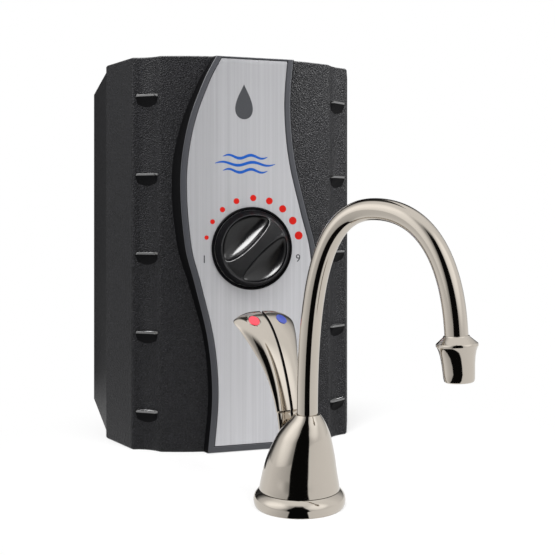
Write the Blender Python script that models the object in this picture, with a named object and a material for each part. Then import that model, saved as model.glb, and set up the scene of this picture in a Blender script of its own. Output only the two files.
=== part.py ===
"""Instant hot water dispenser: an under-sink tank unit and its two-lever tap.

Metres, +Z up. The origin is the centre of the tank case's base. The case faces -Y, and the tap
stands in front of it on the same level, turned as it would be beside a sink.
"""

import math

import bmesh
import bpy
from mathutils import Vector

# Fits and finishes that every piece shares
GAP = 0.0003
OVERRUN = 0.004
WELD = 0.000001
SHARP_ANGLE = math.radians(32)
ROUND_SEGMENTS = 32
HIDDEN_SEGMENTS = 14
SMALL_SEGMENTS = 10

# Water tank, which the case is built round
TANK_Y = 0.022
TANK_RADIUS = 0.062
TANK_FLOOR = 0.045
TANK_HEIGHT = 0.210
TANK_TOP = TANK_FLOOR + TANK_HEIGHT
TANK_WALL = 0.0015
TANK_CORNER = 0.012
TANK_CORNER_STEPS = 2
TANK_SEGMENTS = 20
ELEMENT_PORT_RADIUS = 0.017

# Tank case: two moulded shells that meet at a seam behind the shoulders
SIDE_SPACE = 0.039
BACK_SPACE = 0.034
FRONT_SPACE = 0.040
HEAD_SPACE = 0.037
CASE_HALF_WIDTH = TANK_RADIUS + SIDE_SPACE
CASE_HEIGHT = TANK_TOP + HEAD_SPACE
CASE_BACK = TANK_Y + TANK_RADIUS + BACK_SPACE
CASE_WALL = 0.0025
CASE_EDGE_ROUND = 0.0012
BOW_INSET = 0.035
BOW_HALF_WIDTH = CASE_HALF_WIDTH - BOW_INSET
BOW_EDGE = TANK_Y - TANK_RADIUS - FRONT_SPACE
BOW_RISE = 0.012
COVE_INSET = 0.016
COVE_SETBACK = 0.0125
COVE_OUTER_X = CASE_HALF_WIDTH - COVE_INSET
COVE_OUTER_Y = BOW_EDGE + COVE_SETBACK
COVE_DEPTH = 0.0026
SHOULDER_INSET = 0.0005
SHOULDER_X = CASE_HALF_WIDTH - SHOULDER_INSET
SEAM_SETBACK = 0.054
SEAM = BOW_EDGE + SEAM_SETBACK
SEAM_LIP = 0.002
REAR_STEP = 0.001
REAR_LIFT = 0.0025
REAR_CHAMFER = 0.006
FOOT_HALF_WIDTH = 0.030
FOOT_SEAM_SPACE = 0.006
FOOT_FRONT = SEAM + FOOT_SEAM_SPACE
FOOT_BACK = 0.020
FOOT_CORNER = 0.002
REAR_FOOT_HALF = 0.010
REAR_FOOT_INSET = 0.022
BOW_STEPS = 12
COVE_STEPS = 5

# Small ledges that cross the coves
LEDGE_COUNT = 5
LEDGE_FIRST_SHARE = 0.103
LEDGE_PITCH_SHARE = 0.2003
LEDGE_WIDTH = 0.018
LEDGE_THICKNESS = 0.0016
LEDGE_REACH = 0.0012
LEDGE_ROOT = 0.0045
LEDGE_GUSSET = 0.009
LEDGE_CORNER = 0.002

# Case screws, in long posts at the four corners
POST_INSET = 0.0125
POST_X = CASE_HALF_WIDTH - POST_INSET
POST_LOW = 0.022
POST_HIGH = CASE_HEIGHT - POST_LOW
POST_RADIUS = 0.0045
POST_SETBACK = 0.037
POST_SPLIT = CASE_BACK - POST_SETBACK
SCREW_HEAD_RADIUS = 0.0032
SCREW_HEAD_HEIGHT = 0.0022
SCREW_RADIUS = 0.0016
SCREW_LENGTH = 0.026
SCREW_SEAT_WALL = 0.006
SCREW_SEAT = POST_SPLIT + SCREW_SEAT_WALL
COUNTERBORE_RADIUS = 0.0040

# Front panel: an S-shaped frame that carries a flat plate
PANEL_STAND = 0.015
PANEL_DEPTH = 0.0145
PANEL_FRONT = PANEL_STAND - BOW_EDGE
PANEL_BACK = PANEL_FRONT - PANEL_DEPTH
PANEL_WAIST = 0.0489
PANEL_CENTRE_SHARE = 0.5137
PANEL_CENTRE_Z = CASE_HEIGHT * PANEL_CENTRE_SHARE
PANEL_MARGIN_Z = 0.0005
PANEL_FLANK_SLOPE = 0.4
RIM_SIDE = 0.0042
RIM_TOP = 0.0014
RIM_BOTTOM = 0.0045
RIM_ROUND = 0.0005
SEAT_WIDTH = 0.003
PLATE_THICKNESS = 0.0012
PLATE_SUNK = 0.0003
PANEL_STEPS = 24
PANEL_EDGE_SHARES = (
    (0.00, 0.585), (0.147, 0.52), (0.284, 0.587), (0.425, 0.785), (0.52, 0.93),
    (0.69, 1.0), (0.822, 0.89), (0.935, 0.65), (1.0, 0.45), (1.035, 0.34),
)

# Dial: a thin ring on the plate, and the knob with its two finger scoops
BEZEL_RADIUS = 0.0307
BEZEL_WIDTH = 0.0022
BEZEL_HEIGHT = 0.0022
BEZEL_ROUND = 0.0007
KNOB_RADIUS = 0.0282
KNOB_HEIGHT = 0.0156
KNOB_FOOT = 0.0006
KNOB_TURN = math.radians(-45)
KNOB_PROFILE_SHARES = (
    (0.0, 1.0), (0.35, 0.985), (0.62, 0.93), (0.78, 0.845), (0.855, 0.735), (0.885, 0.59),
    (0.955, 0.30), (1.0, 0.21), (1.0, 0.06), (0.96, 0.0),
)
SCOOP_RADIUS = 0.0244
SCOOP_CENTRE = 0.0130
SCOOP_FLOOR = 0.0052
SCOOP_FULL = 0.0116
GRIP_HALF_WIDTH = 0.0042
GRIP_FLARE_POINTER = 0.0025
GRIP_FLARE_TAIL = 0.0045
SCOOP_STEPS = 22
SCOOP_CORNER_POWER = 7.0
SCOOP_DEPTH_TURNS = (0.0, 28.0, 50.0, 68.0, 81.0)
SHAFT_RADIUS = 0.0030
SHAFT_FLAT_SHARE = 0.62
SHAFT_GRIP = 0.0085

# Thermostat behind the panel
BRACKET_HALF_WIDTH = 0.029
BRACKET_HALF_HEIGHT = 0.011
BRACKET_THICKNESS = 0.0012
BRACKET_CORNER = 0.003
BOSS_X = 0.024
BOSS_RADIUS = 0.0035
BOSS_LENGTH = 0.006
THERMOSTAT_HALF_WIDTH = 0.0195
THERMOSTAT_HALF_HEIGHT = 0.017
THERMOSTAT_DEPTH = 0.022
THERMOSTAT_CORNER = 0.002
BULB_RADIUS = 0.0028
CAPILLARY_RADIUS = 0.0010
BULB_LENGTH = 0.040
BULB_DROP = 0.046
BULB_TOP = PANEL_CENTRE_Z - BULB_DROP
CUTOUT_RADIUS = 0.008
CUTOUT_DEPTH = 0.006
CUTOUT_SHARE = 0.74
CUTOUT_Z = TANK_FLOOR + TANK_HEIGHT * CUTOUT_SHARE
CUTOUT_TAB_WIDTH = 0.0063
CUTOUT_TAB_THICKNESS = 0.0008
CUTOUT_TAB_LENGTH = 0.008
CUTOUT_TAB_X = 0.0045

# The tank's cradle and its insulation
CRADLE_WALL = 0.004
CRADLE_SPACE = 0.0045
FOAM_SIDE_SPACE = 0.021
FOAM_FRONT_SPACE = 0.006
FOAM_BACK_SPACE = 0.013
FOAM_SHOULDER = 0.020
FOAM_SHOULDER_SETBACK = 0.016
FOAM_ABOVE_TANK = 0.013
FOAM_HALF_WIDTH = CASE_HALF_WIDTH - FOAM_SIDE_SPACE
FOAM_FRONT = BOW_EDGE + FOAM_FRONT_SPACE
FOAM_SHOULDER_X = FOAM_HALF_WIDTH - FOAM_SHOULDER
FOAM_SHOULDER_Y = FOAM_FRONT + FOAM_SHOULDER_SETBACK
FOAM_BACK = CASE_BACK - FOAM_BACK_SPACE
FOAM_TOP = TANK_TOP + FOAM_ABOVE_TANK
FOAM_CHANNEL = 0.024
FOAM_STEPS = 14

# Heater at the foot of the tank
ELEMENT_RADIUS = 0.0032
ELEMENT_PIN_RADIUS = 0.0013
ELEMENT_SPREAD = 0.009
ELEMENT_FOOT = 0.024
ELEMENT_PIN = 0.008
ELEMENT_HEIGHT_SHARE = 0.5
ELEMENT_TOP = TANK_FLOOR + TANK_HEIGHT * ELEMENT_HEIGHT_SHARE
ELEMENT_BEND_STEPS = 10
FLANGE_OVERLAP = 0.006
FLANGE_PLATE_RADIUS = ELEMENT_PORT_RADIUS + FLANGE_OVERLAP
FLANGE_PLATE_THICKNESS = 0.004
ELEMENT_GASKET_THICKNESS = 0.0014
FLANGE_SCREW_RING = ELEMENT_PORT_RADIUS + FLANGE_OVERLAP / 2
FLANGE_SCREW_COUNT = 4
FLANGE_SCREW_HEAD = 0.0024
FLANGE_SCREW_HEIGHT = 0.0018

# Ports through the top of the case
PORT_PITCH = 0.015
STUB_RADIUS = 0.0040
PORT_EDGE = 0.001
PORT_OVERLAP = 0.006
TOP_PORT_RADIUS = PORT_PITCH + STUB_RADIUS + PORT_EDGE
PORT_BLOCK_RADIUS = TOP_PORT_RADIUS + PORT_OVERLAP
PORT_BLOCK_THICKNESS = 0.005
PORT_PLUG_DEPTH = 0.006
STUB_BORE_RADIUS = 0.0018
STUB_BARB = 0.0007
STUB_STAND = 0.017
STUB_TOP = CASE_HEIGHT + STUB_STAND
BARB_PITCH = 0.004
BARB_COUNT = 2
COLLAR_MARGIN = 0.009
COLLAR_HALF_WIDTH = PORT_PITCH + STUB_RADIUS + COLLAR_MARGIN
COLLAR_HALF_DEPTH = 0.012
COLLAR_THICKNESS = 0.0018
COLLAR_ROUND = 0.0108
COLLAR_ROUND_STEPS = 4

# Drain in the floor of the case
DRAIN_SPACE = 0.008
DRAIN_OFFSET = FLANGE_PLATE_RADIUS + DRAIN_SPACE
DRAIN_RADIUS = 0.0060
DRAIN_BORE = 0.0044
DRAIN_FLARE = 0.0074
DRAIN_PLUG_HEAD = 0.0085
DRAIN_PLUG_HEAD_HEIGHT = 0.0018
DRAIN_PLUG_LENGTH = 0.014
DRAIN_SLOT_HALF_LENGTH = 0.006
DRAIN_SLOT_WIDTH = 0.0016
DRAIN_SLOT_DEPTH = 0.0009
CRADLE_RADIUS = DRAIN_OFFSET + DRAIN_PLUG_HEAD + CRADLE_SPACE + CRADLE_WALL

# Supply entry in the right side wall
GLAND_BACK_SPACE = 0.035
GLAND_Y = CASE_BACK - GLAND_BACK_SPACE
GLAND_Z = 0.060
GLAND_RADIUS = 0.0078
GLAND_BORE = 0.0044
GLAND_FLANGE = 0.0108
GLAND_FLANGE_HEIGHT = 0.003
GLAND_ROUND = 0.001
GLAND_DEPTH = 0.010
GLAND_NUT_RADIUS = 0.0112
GLAND_NUT_THICKNESS = 0.004
TERMINAL_HALF_LENGTH = 0.020
TERMINAL_HALF_DEPTH = 0.008
TERMINAL_HEIGHT = 0.014
TERMINAL_SETBACK = 0.017
TERMINAL_Y = BOW_EDGE + TERMINAL_SETBACK
TERMINAL_WAYS = 3
TERMINAL_PITCH = 0.012
TERMINAL_WELL_RADIUS = 0.0032
TERMINAL_WELL_DEPTH = 0.006
TERMINAL_CORNER = 0.0018

# Tap: where it stands, and how its levers and its spout are turned
TAP_X = -0.0024
TAP_SPACE = 0.124
TAP_Y = -PANEL_FRONT - TAP_SPACE
TAP_TURN = math.radians(-76.1)
SPOUT_TURN = math.radians(-56.2)
SPOUT_OFFSET = 0.009

# Base of the tap
FLANGE_RADIUS = 0.0277
FLANGE_HEIGHT = 0.0097
FLANGE_BORE = 0.0175
FLANGE_TOP_BORE = 0.0205
FLANGE_SHARES = (
    (0.0, 0.965), (0.14, 0.988), (0.38, 1.0), (0.62, 0.985), (0.80, 0.945), (0.93, 0.90),
    (1.0, 0.87),
)
GASKET_THICKNESS = 0.0016
GASKET_RADIUS = 0.0240
BELL_FOOT = 0.0100
BELL_TOP = 0.056
BELL_WALL = 0.0016
BELL_RADIUS = 0.0242
BELL_CROWN = 0.050
BELL_SHARES = (
    (0.0, 1.0, 0.0), (0.04, 0.992, 0.0), (0.24, 0.920, 0.05), (0.40, 0.856, 0.17),
    (0.52, 0.790, 0.30), (0.64, 0.713, 0.45), (0.74, 0.640, 0.58), (0.83, 0.545, 0.73),
    (0.91, 0.445, 0.88), (0.97, 0.358, 0.97), (1.0, 0.318, 1.0),
)
BELL_SEGMENTS = 32
HOLLOW_SEGMENTS = 20
SLOT_HALF_WIDTH = 0.0094
SLOT_FLOOR = 0.0355
SLOT_FRONT = -0.0036

# Spout: one bent tube, its nozzle and its seats in the base
SPOUT_RADIUS = 0.0062
SPOUT_BORE = 0.0050
SPOUT_FOOT = 0.0372
SPOUT_RISE_START = 0.056
SPOUT_TOP = 0.1770
SPOUT_APEX_REACH = 0.0468
SPOUT_REACH = 0.0982
SPOUT_END = 0.1139
SPOUT_RISE_PULL = 0.0861
SPOUT_APEX_PULL_IN = 0.0320
SPOUT_APEX_PULL_OUT = 0.0350
SPOUT_END_PULL = 0.0341
SPOUT_END_LEAN = math.radians(4)
SPOUT_STEPS = 11
SPOUT_SIDES = 16
NOZZLE_SETBACK = 0.0030
NOZZLE_LENGTH = 0.0240
NOZZLE_RADIUS = 0.0110
NOZZLE_INSERT = 0.0085
NOZZLE_MOUTH = 0.0064
NOZZLE_THROAT = 0.0052
NOZZLE_MOUTH_DEPTH = 0.0110
NOZZLE_SEGMENTS = 24
NOZZLE_SHARES = (
    (0.0, 0.615), (0.03, 0.645), (0.165, 0.985), (0.185, 1.0), (0.225, 0.995), (0.24, 0.965),
    (0.33, 0.885), (0.45, 0.825), (0.62, 0.780), (0.80, 0.755), (0.93, 0.735), (0.98, 0.700),
    (1.0, 0.650),
)
STRAIGHTENER_THICKNESS = 0.0030
STRAIGHTENER_HOLES = 6
STRAIGHTENER_HOLE = 0.0011
STRAIGHTENER_RING = 0.0036
BUSHING_RADIUS = 0.0077
BUSHING_FOOT = 0.0402
BUSHING_TOP = 0.0497
SEAL_WIRE = 0.0005

# Valve body inside the bell
BODY_RADIUS = 0.0192
BODY_FOOT = 0.0022
BODY_TOP = 0.0130
POST_NECK_RADIUS = 0.0058
CUP_RADIUS = 0.0096
CUP_BORE = 0.0080
CUP_FOOT = 0.0345
CUP_FLOOR = 0.0369
CUP_TOP = 0.0440
EAR_INNER = 0.0094
EAR_THICKNESS = 0.0026
EAR_HALF_LENGTH = 0.0040
EAR_TOP = 0.0335
PIVOT_X = -0.0041
PIVOT_Z = 0.0300
PIN_RADIUS = 0.0015
HUB_RADIUS = 0.0036
CARTRIDGE_X = -0.0096
CARTRIDGE_Y = 0.0049
CARTRIDGE_RADIUS = 0.0042
CARTRIDGE_FOOT = 0.0055
CARTRIDGE_TOP = 0.0170
CARTRIDGE_COLLAR = 0.0010
PLUNGER_RADIUS = 0.0018
PLUNGER_HEAD = 0.0025
PLUNGER_LENGTH = 0.0130
HEEL_DROP = 0.0050
HEEL_REACH = 0.0080
SPRING_WIRE = 0.0003
SPRING_RADIUS = 0.0026
SPRING_TURNS = 4
SPRING_STEPS = 7

# Levers: two petals, split along the middle, that curl back from the spout
LEVER_SPLIT = 0.0003
LEVER_TIP_X = -0.0480
LEVER_TIP_Z = 0.1119
LEVER_TIP_PULL_X = -0.0218
LEVER_TIP_PULL_Z = 0.1050
LEVER_FOOT_PULL_X = -0.0061
LEVER_FOOT_PULL_Z = 0.0556
LEVER_HALF_WIDTH = 0.0205
LEVER_CROWN = 0.0042
LEVER_THICKNESS = 0.0052
LEVER_STEP = 0.0007
LEVER_EDGE_SHARE = 0.55
LEVER_FRONT_EDGE_SHARE = 0.19
LEVER_EDGE_POWER = 4
LEVER_SPINE_STEP_SHARE = 0.01
LEVER_WIDTH_POINTS = 6
LEVER_SHARES = (
    (0.0, 0.41, 0.95, 0.05, 1.0), (0.16, 0.415, 1.0, 0.06, 1.0), (0.265, 0.42, 1.0, 0.07, 1.0),
    (0.275, 0.455, 1.0, 0.10, 0.0), (0.36, 0.475, 0.96, 0.22, 0.0), (0.46, 0.53, 0.88, 0.42, 0.0),
    (0.56, 0.62, 0.78, 0.68, 0.0), (0.66, 0.745, 0.68, 0.90, 0.0), (0.76, 0.865, 0.58, 1.0, 0.0),
    (0.85, 0.95, 0.50, 1.0, 0.0), (0.92, 0.99, 0.45, 1.0, 0.0), (0.965, 0.965, 0.42, 0.95, 0.0),
    (0.988, 0.88, 0.38, 0.85, 0.0), (1.0, 0.74, 0.30, 0.65, 0.0),
)
MARKER_SHARE = 0.872
MARKER_Y = 0.0100
MARKER_LONG = 0.0042
MARKER_SHORT = 0.0035
MARKER_THICKNESS = 0.0008
MARKER_STEPS = 18

FINISHES = {
    "grained_black_plastic": ("2e2e30", 0.55, 0.0),
    "smooth_dark_plastic": ("47484d", 0.38, 0.0),
    "gloss_black_plastic": ("141416", 0.22, 0.0),
    "brushed_plate": ("b9b9bb", 0.38, 1.0),
    "polished_nickel": ("b9aea0", 0.14, 1.0),
    "red_enamel": ("e8384a", 0.35, 0.0),
    "blue_enamel": ("3a4fb8", 0.35, 0.0),
    "brass": ("b08d4a", 0.35, 1.0),
    "stainless_steel": ("9a9a98", 0.35, 1.0),
    "copper": ("b06a44", 0.35, 1.0),
    "white_foam": ("e6e4dc", 0.9, 0.0),
    "natural_nylon": ("d9d4c4", 0.5, 0.0),
    "black_rubber": ("1b1b1b", 0.8, 0.0),
}


def linear(channel):
    """One sRGB channel from 0 to 255 as a linear value."""
    value = channel / 255
    return value / 12.92 if value <= 0.04045 else ((value + 0.055) / 1.055) ** 2.4


def finish(name):
    """The material of this name, made at its first use."""
    made = bpy.data.materials.get(name)
    if made:
        return made
    made = bpy.data.materials.new(name)
    made.use_nodes = True
    colour, roughness, metallic = FINISHES[name]
    channels = [linear(channel) for channel in bytes.fromhex(colour)]
    shader = made.node_tree.nodes["Principled BSDF"]
    shader.inputs["Base Color"].default_value = (*channels, 1.0)
    shader.inputs["Roughness"].default_value = roughness
    shader.inputs["Metallic"].default_value = metallic
    return made


def clear_scene():
    for found in list(bpy.data.objects):
        bpy.data.objects.remove(found, do_unlink=True)


def empty(name, location, turn=0.0, parent=None):
    """A frame that other pieces are placed in."""
    frame = bpy.data.objects.new(name, None)
    frame.location = location
    frame.rotation_euler = (0, 0, turn)
    frame.parent = parent
    bpy.context.collection.objects.link(frame)
    return frame


def body(name, shape, material, location=(0, 0, 0), rotation=(0, 0, 0), parent=None):
    """A visible piece made of the finished bmesh."""
    mesh = bpy.data.meshes.new(name)
    bmesh.ops.recalc_face_normals(shape, faces=shape.faces)
    shape.to_mesh(mesh)
    shape.free()
    mesh.shade_smooth()
    mesh.set_sharp_from_angle(angle=SHARP_ANGLE)
    piece = bpy.data.objects.new(name, mesh)
    piece.location = location
    piece.rotation_euler = rotation
    piece.parent = parent
    if material:
        mesh.materials.append(finish(material))
    bpy.context.collection.objects.link(piece)
    return piece


def cutter(name, shape, location=(0, 0, 0), rotation=(0, 0, 0), parent=None):
    """A hidden shape for a Boolean."""
    piece = body(name, shape, None, location, rotation, parent)
    piece.hide_render = True
    piece.display_type = "WIRE"
    return piece


def combine(piece, other, operation="DIFFERENCE"):
    """Cut the other shape from the piece, or join it to the piece."""
    step = piece.modifiers.new(f"{operation.lower()}_{other.name}", "BOOLEAN")
    step.operation = operation
    step.solver = "EXACT"
    step.object = other
    return piece


def join(piece, other):
    return combine(piece, other, "UNION")


def round_edges(piece, width, segments=2, angle=math.radians(28)):
    step = piece.modifiers.new("rounded_edges", "BEVEL")
    step.width = width
    step.segments = segments
    step.limit_method = "ANGLE"
    step.angle_limit = angle
    return piece


def loft(rings, ends=True):
    """Faces between rings of equally many points, with the first and last ring filled."""
    shape = bmesh.new()
    rows = [[shape.verts.new(point) for point in ring] for ring in rings]
    if not ends:
        rows.append(rows[0])
    for low, high in zip(rows, rows[1:]):
        for index, start in enumerate(low):
            after = (index + 1) % len(low)
            shape.faces.new((start, low[after], high[after], high[index]))
    if ends:
        shape.faces.new(rows[0])
        shape.faces.new(rows[-1])
    return shape


def prism(outline, low, high):
    """A flat outline in X and Y, carried from one height to another."""
    return loft([[Vector((x, y, z)) for x, y in outline] for z in (low, high)])


def together(shapes):
    """Several separate shapes in one bmesh."""
    whole = bmesh.new()
    for shape in shapes:
        mesh = bpy.data.meshes.new("part_of_group")
        bmesh.ops.recalc_face_normals(shape, faces=shape.faces)
        shape.to_mesh(mesh)
        shape.free()
        whole.from_mesh(mesh)
        bpy.data.meshes.remove(mesh)
    return whole


def moved(shape, x=0.0, y=0.0, z=0.0):
    bmesh.ops.translate(shape, verts=shape.verts, vec=Vector((x, y, z)))
    return shape


def turned(profile, segments=ROUND_SEGMENTS):
    """A profile of (radius, height) points turned about Z, open at the axis or closed round it."""
    shape = bmesh.new()
    points = [shape.verts.new((radius, 0, height)) for radius, height in profile]
    runs = list(zip(points, points[1:]))
    if profile[0][0] > 0:
        runs.append((points[-1], points[0]))
    edges = [shape.edges.new(run) for run in runs]
    bmesh.ops.spin(
        shape,
        geom=points + edges,
        cent=(0, 0, 0),
        axis=(0, 0, 1),
        angle=math.tau,
        steps=segments,
        use_merge=True,
    )
    bmesh.ops.remove_doubles(shape, verts=shape.verts, dist=WELD)
    return shape


def rod(radius, low, high, segments=SMALL_SEGMENTS):
    return turned([(0, low), (radius, low), (radius, high), (0, high)], segments)


def tube(outer, inner, low, high, segments=ROUND_SEGMENTS):
    return turned([(inner, low), (outer, low), (outer, high), (inner, high)], segments)


def stepped_rod(start, middle, end, narrow, wide, segments=SMALL_SEGMENTS):
    """A rod with a narrow and a wide part, for a hole with a seat."""
    profile = [(0, start), (narrow, start), (narrow, middle), (wide, middle), (wide, end), (0, end)]
    return turned(profile, segments)


def laid(shape):
    """The shape tipped so that its Z axis lies along Y."""
    for vert in shape.verts:
        vert.co = Vector((vert.co.x, vert.co.z, -vert.co.y))
    return shape


def lying_rod(radius, low, high, segments=SMALL_SEGMENTS):
    return laid(rod(radius, low, high, segments))


def swept(path, radius, sides):
    """A round section carried along a path, with flat ends. The radius may differ at each point."""
    radii = radius if isinstance(radius, (list, tuple)) else [radius] * len(path)
    steps = [after - before for before, after in zip(path, path[1:])]
    tangents = [steps[0], *[a.normalized() + b.normalized() for a, b in zip(steps, steps[1:])], steps[-1]]
    side = tangents[0].orthogonal().normalized()
    rings = []
    for point, tangent, reach in zip(path, tangents, radii):
        ahead = tangent.normalized()
        side = (side - ahead * side.dot(ahead)).normalized()
        across = ahead.cross(side)
        turns = [math.tau * index / sides for index in range(sides)]
        rings.append([point + reach * (math.cos(t) * side + math.sin(t) * across) for t in turns])
    return loft(rings)


def bezier(start, pull_start, pull_end, end, share):
    """A point on a cubic curve."""
    rest = 1 - share
    return (
        start * rest**3
        + pull_start * 3 * rest**2 * share
        + pull_end * 3 * rest * share**2
        + end * share**3
    )


def smooth_share(shares, at):
    """The value at a place in a table of (place, value), joined by a smooth curve."""
    index = 1
    while index < len(shares) - 2 and shares[index + 1][0] < at:
        index += 1
    if at < shares[1][0]:
        index = 0
    before = shares[max(index - 1, 0)]
    low = shares[index]
    high = shares[index + 1]
    beyond = shares[min(index + 2, len(shares) - 1)]
    span = high[0] - low[0]
    leave = (high[1] - before[1]) / (high[0] - before[0]) * span
    reach = (beyond[1] - low[1]) / (beyond[0] - low[0]) * span
    t = (at - low[0]) / span
    return (
        (2 * t**3 - 3 * t**2 + 1) * low[1]
        + (t**3 - 2 * t**2 + t) * leave
        + (3 * t**2 - 2 * t**3) * high[1]
        + (t**3 - t**2) * reach
    )


def offset_outline(outline, distance):
    """The outline moved outward by a distance, with mitred corners. It runs anticlockwise."""
    moved_points = []
    count = len(outline)
    for index, point in enumerate(outline):
        here = Vector(point)
        into = (here - Vector(outline[index - 1])).normalized()
        out_of = (Vector(outline[(index + 1) % count]) - here).normalized()
        normals = [Vector((step.y, -step.x)) for step in (into, out_of)]
        middle = (normals[0] + normals[1]).normalized()
        moved_points.append(tuple(here + middle * distance / middle.dot(normals[0])))
    return moved_points


def rounded_box(half_x, half_y, corner, steps=3):
    """An anticlockwise rectangle with round corners."""
    outline = []
    for quarter, (x, y) in enumerate(((1, 1), (-1, 1), (-1, -1), (1, -1))):
        for step in range(steps + 1):
            turn = math.pi / 2 * (quarter + step / steps)
            outline.append(
                (
                    x * (half_x - corner) + corner * math.cos(turn),
                    y * (half_y - corner) + corner * math.sin(turn),
                )
            )
    return outline


def circle(radius, steps, x=0.0, y=0.0):
    turns = [math.tau * index / steps for index in range(steps)]
    return [(x + radius * math.cos(t), y + radius * math.sin(t)) for t in turns]


def mirrored_x(points):
    return [(-x, y) for x, y in reversed(points)]


def bow_y(x):
    """The bowed front of the case at a distance from its middle."""
    return BOW_EDGE - BOW_RISE * (1 - (x / BOW_HALF_WIDTH) ** 2)


def front_outline(back):
    """The case's front half seen from above, anticlockwise from its rear left corner."""
    bow = [BOW_HALF_WIDTH * (2 * step / BOW_STEPS - 1) for step in range(BOW_STEPS + 1)]
    edge = Vector((BOW_HALF_WIDTH, BOW_EDGE))
    outer = Vector((COVE_OUTER_X, COVE_OUTER_Y))
    along = outer - edge
    inward = Vector((-along.y, along.x)).normalized()
    cove = []
    for step in range(1, COVE_STEPS):
        share = step / COVE_STEPS
        cove.append(tuple(edge + along * share + inward * COVE_DEPTH * 4 * share * (1 - share)))
    right = [*cove, tuple(outer), (SHOULDER_X, SEAM - SEAM_LIP), (SHOULDER_X, back)]
    return [*mirrored_x(right), *[(x, bow_y(x)) for x in bow], *right]


def rear_outline(front):
    """The case's rear half seen from above, anticlockwise from its front left corner."""
    side = SHOULDER_X - REAR_STEP
    right = [(side, front), (CASE_HALF_WIDTH - REAR_STEP, CASE_BACK - REAR_CHAMFER)]
    right.append((CASE_HALF_WIDTH - REAR_STEP - REAR_CHAMFER, CASE_BACK))
    return [*mirrored_x(right)[::-1], *right[::-1]][::-1]


def panel_outline(margin, low, high):
    """The S-shaped panel seen from the front, anticlockwise, widened by a margin."""
    heights = [low + (high - low) * step / PANEL_STEPS for step in range(PANEL_STEPS + 1)]
    right = []
    left = []
    for z in heights:
        mirrored_z = 2 * PANEL_CENTRE_Z - z
        right.append((PANEL_WAIST * smooth_share(PANEL_EDGE_SHARES, mirrored_z / CASE_HEIGHT) + margin, z))
        left.append((-PANEL_WAIST * smooth_share(PANEL_EDGE_SHARES, z / CASE_HEIGHT) - margin, z))
    return [*right, *left[::-1]]


FACING = (math.pi / 2, 0, 0)


def facet_y(x):
    """The flat side facet of the case's front half, behind the cove."""
    share = (x - COVE_OUTER_X) / (SHOULDER_X - COVE_OUTER_X)
    return COVE_OUTER_Y + (SEAM - SEAM_LIP - COVE_OUTER_Y) * share


def case_ledges():
    """The tapered ledges that cross both coves."""
    edge = Vector((BOW_HALF_WIDTH, BOW_EDGE))
    outer = Vector((COVE_OUTER_X, COVE_OUTER_Y))
    along = (outer - edge).normalized()
    outward = Vector((along.y, -along.x))
    middle = (edge + outer) / 2
    half = LEDGE_WIDTH / 2

    def outline(reach, side):
        corner = min(LEDGE_CORNER, (reach + LEDGE_ROOT) / 2)
        local = [
            (-half, -LEDGE_ROOT), (half, -LEDGE_ROOT), (half, reach - corner),
            (half - corner, reach), (corner - half, reach), (-half, reach - corner),
        ]
        points = [middle + along * a + outward * b for a, b in local]
        return [(side * point.x, point.y) for point in points]

    ledges = []
    for side in (1, -1):
        for index in range(LEDGE_COUNT):
            top = CASE_HEIGHT * (LEDGE_FIRST_SHARE + LEDGE_PITCH_SHARE * index)
            levels = (
                (top, LEDGE_REACH), (top - LEDGE_THICKNESS, LEDGE_REACH),
                (top - LEDGE_THICKNESS - LEDGE_GUSSET, -COVE_DEPTH - LEDGE_REACH / 2),
            )
            rings = [[Vector((x, y, z)) for x, y in outline(reach, side)] for z, reach in levels]
            ledges.append(loft(rings))
    return together(ledges)


def corner_places():
    return [(x, z) for x in (-POST_X, POST_X) for z in (POST_LOW, POST_HIGH)]


def front_shell():
    shell = body("front_shell", prism(front_outline(SEAM), 0, CASE_HEIGHT), "grained_black_plastic")
    round_edges(shell, CASE_EDGE_ROUND, 1)
    join(shell, cutter("ledge_shapes", case_ledges()))
    inside = offset_outline(front_outline(SEAM + CASE_WALL + OVERRUN), -CASE_WALL)
    combine(shell, cutter("front_hollow", prism(inside, CASE_WALL, CASE_HEIGHT - CASE_WALL)))
    posts = []
    pilots = []
    post_start = facet_y(POST_X + POST_RADIUS) + CASE_EDGE_ROUND
    for x, z in corner_places():
        posts.append(moved(lying_rod(POST_RADIUS, post_start, POST_SPLIT), x, 0, z))
        pilot_end = SCREW_SEAT - SCREW_LENGTH - GAP
        pilot = lying_rod(SCREW_RADIUS + GAP, pilot_end, POST_SPLIT + OVERRUN, 8)
        pilots.append(moved(pilot, x, 0, z))
    front = bow_y(BOSS_X) + CASE_WALL / 2
    for x in (-BOSS_X, BOSS_X):
        posts.append(moved(lying_rod(BOSS_RADIUS, front, front + BOSS_LENGTH), x, 0, PANEL_CENTRE_Z))
        hole = lying_rod(SCREW_RADIUS + GAP, front + CASE_WALL / 2, front + BOSS_LENGTH + OVERRUN, 10)
        pilots.append(moved(hole, x, 0, PANEL_CENTRE_Z))
    shaft_way = lying_rod(SHAFT_RADIUS + 2 * GAP, bow_y(0) - OVERRUN, bow_y(0) + OVERRUN)
    pilots.append(moved(shaft_way, 0, 0, PANEL_CENTRE_Z))
    join(shell, cutter("front_posts", together(posts)))
    combine(shell, cutter("front_pilots", together(pilots)))


def rear_feet(low):
    """Flat pads that bring the raised rear half down to the level the front half stands on."""
    top = low + CASE_WALL / 2
    half_depth = (FOOT_BACK - FOOT_FRONT) / 2
    middle = prism(rounded_box(FOOT_HALF_WIDTH, half_depth, FOOT_CORNER, 2), 0, top)
    feet = [moved(middle, 0, (FOOT_BACK + FOOT_FRONT) / 2)]
    reach = CASE_HALF_WIDTH - REAR_FOOT_INSET
    for x in (-reach, reach):
        pad = prism(rounded_box(REAR_FOOT_HALF, REAR_FOOT_HALF, FOOT_CORNER, 2), 0, top)
        feet.append(moved(pad, x, CASE_BACK - REAR_FOOT_INSET))
    return feet


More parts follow.
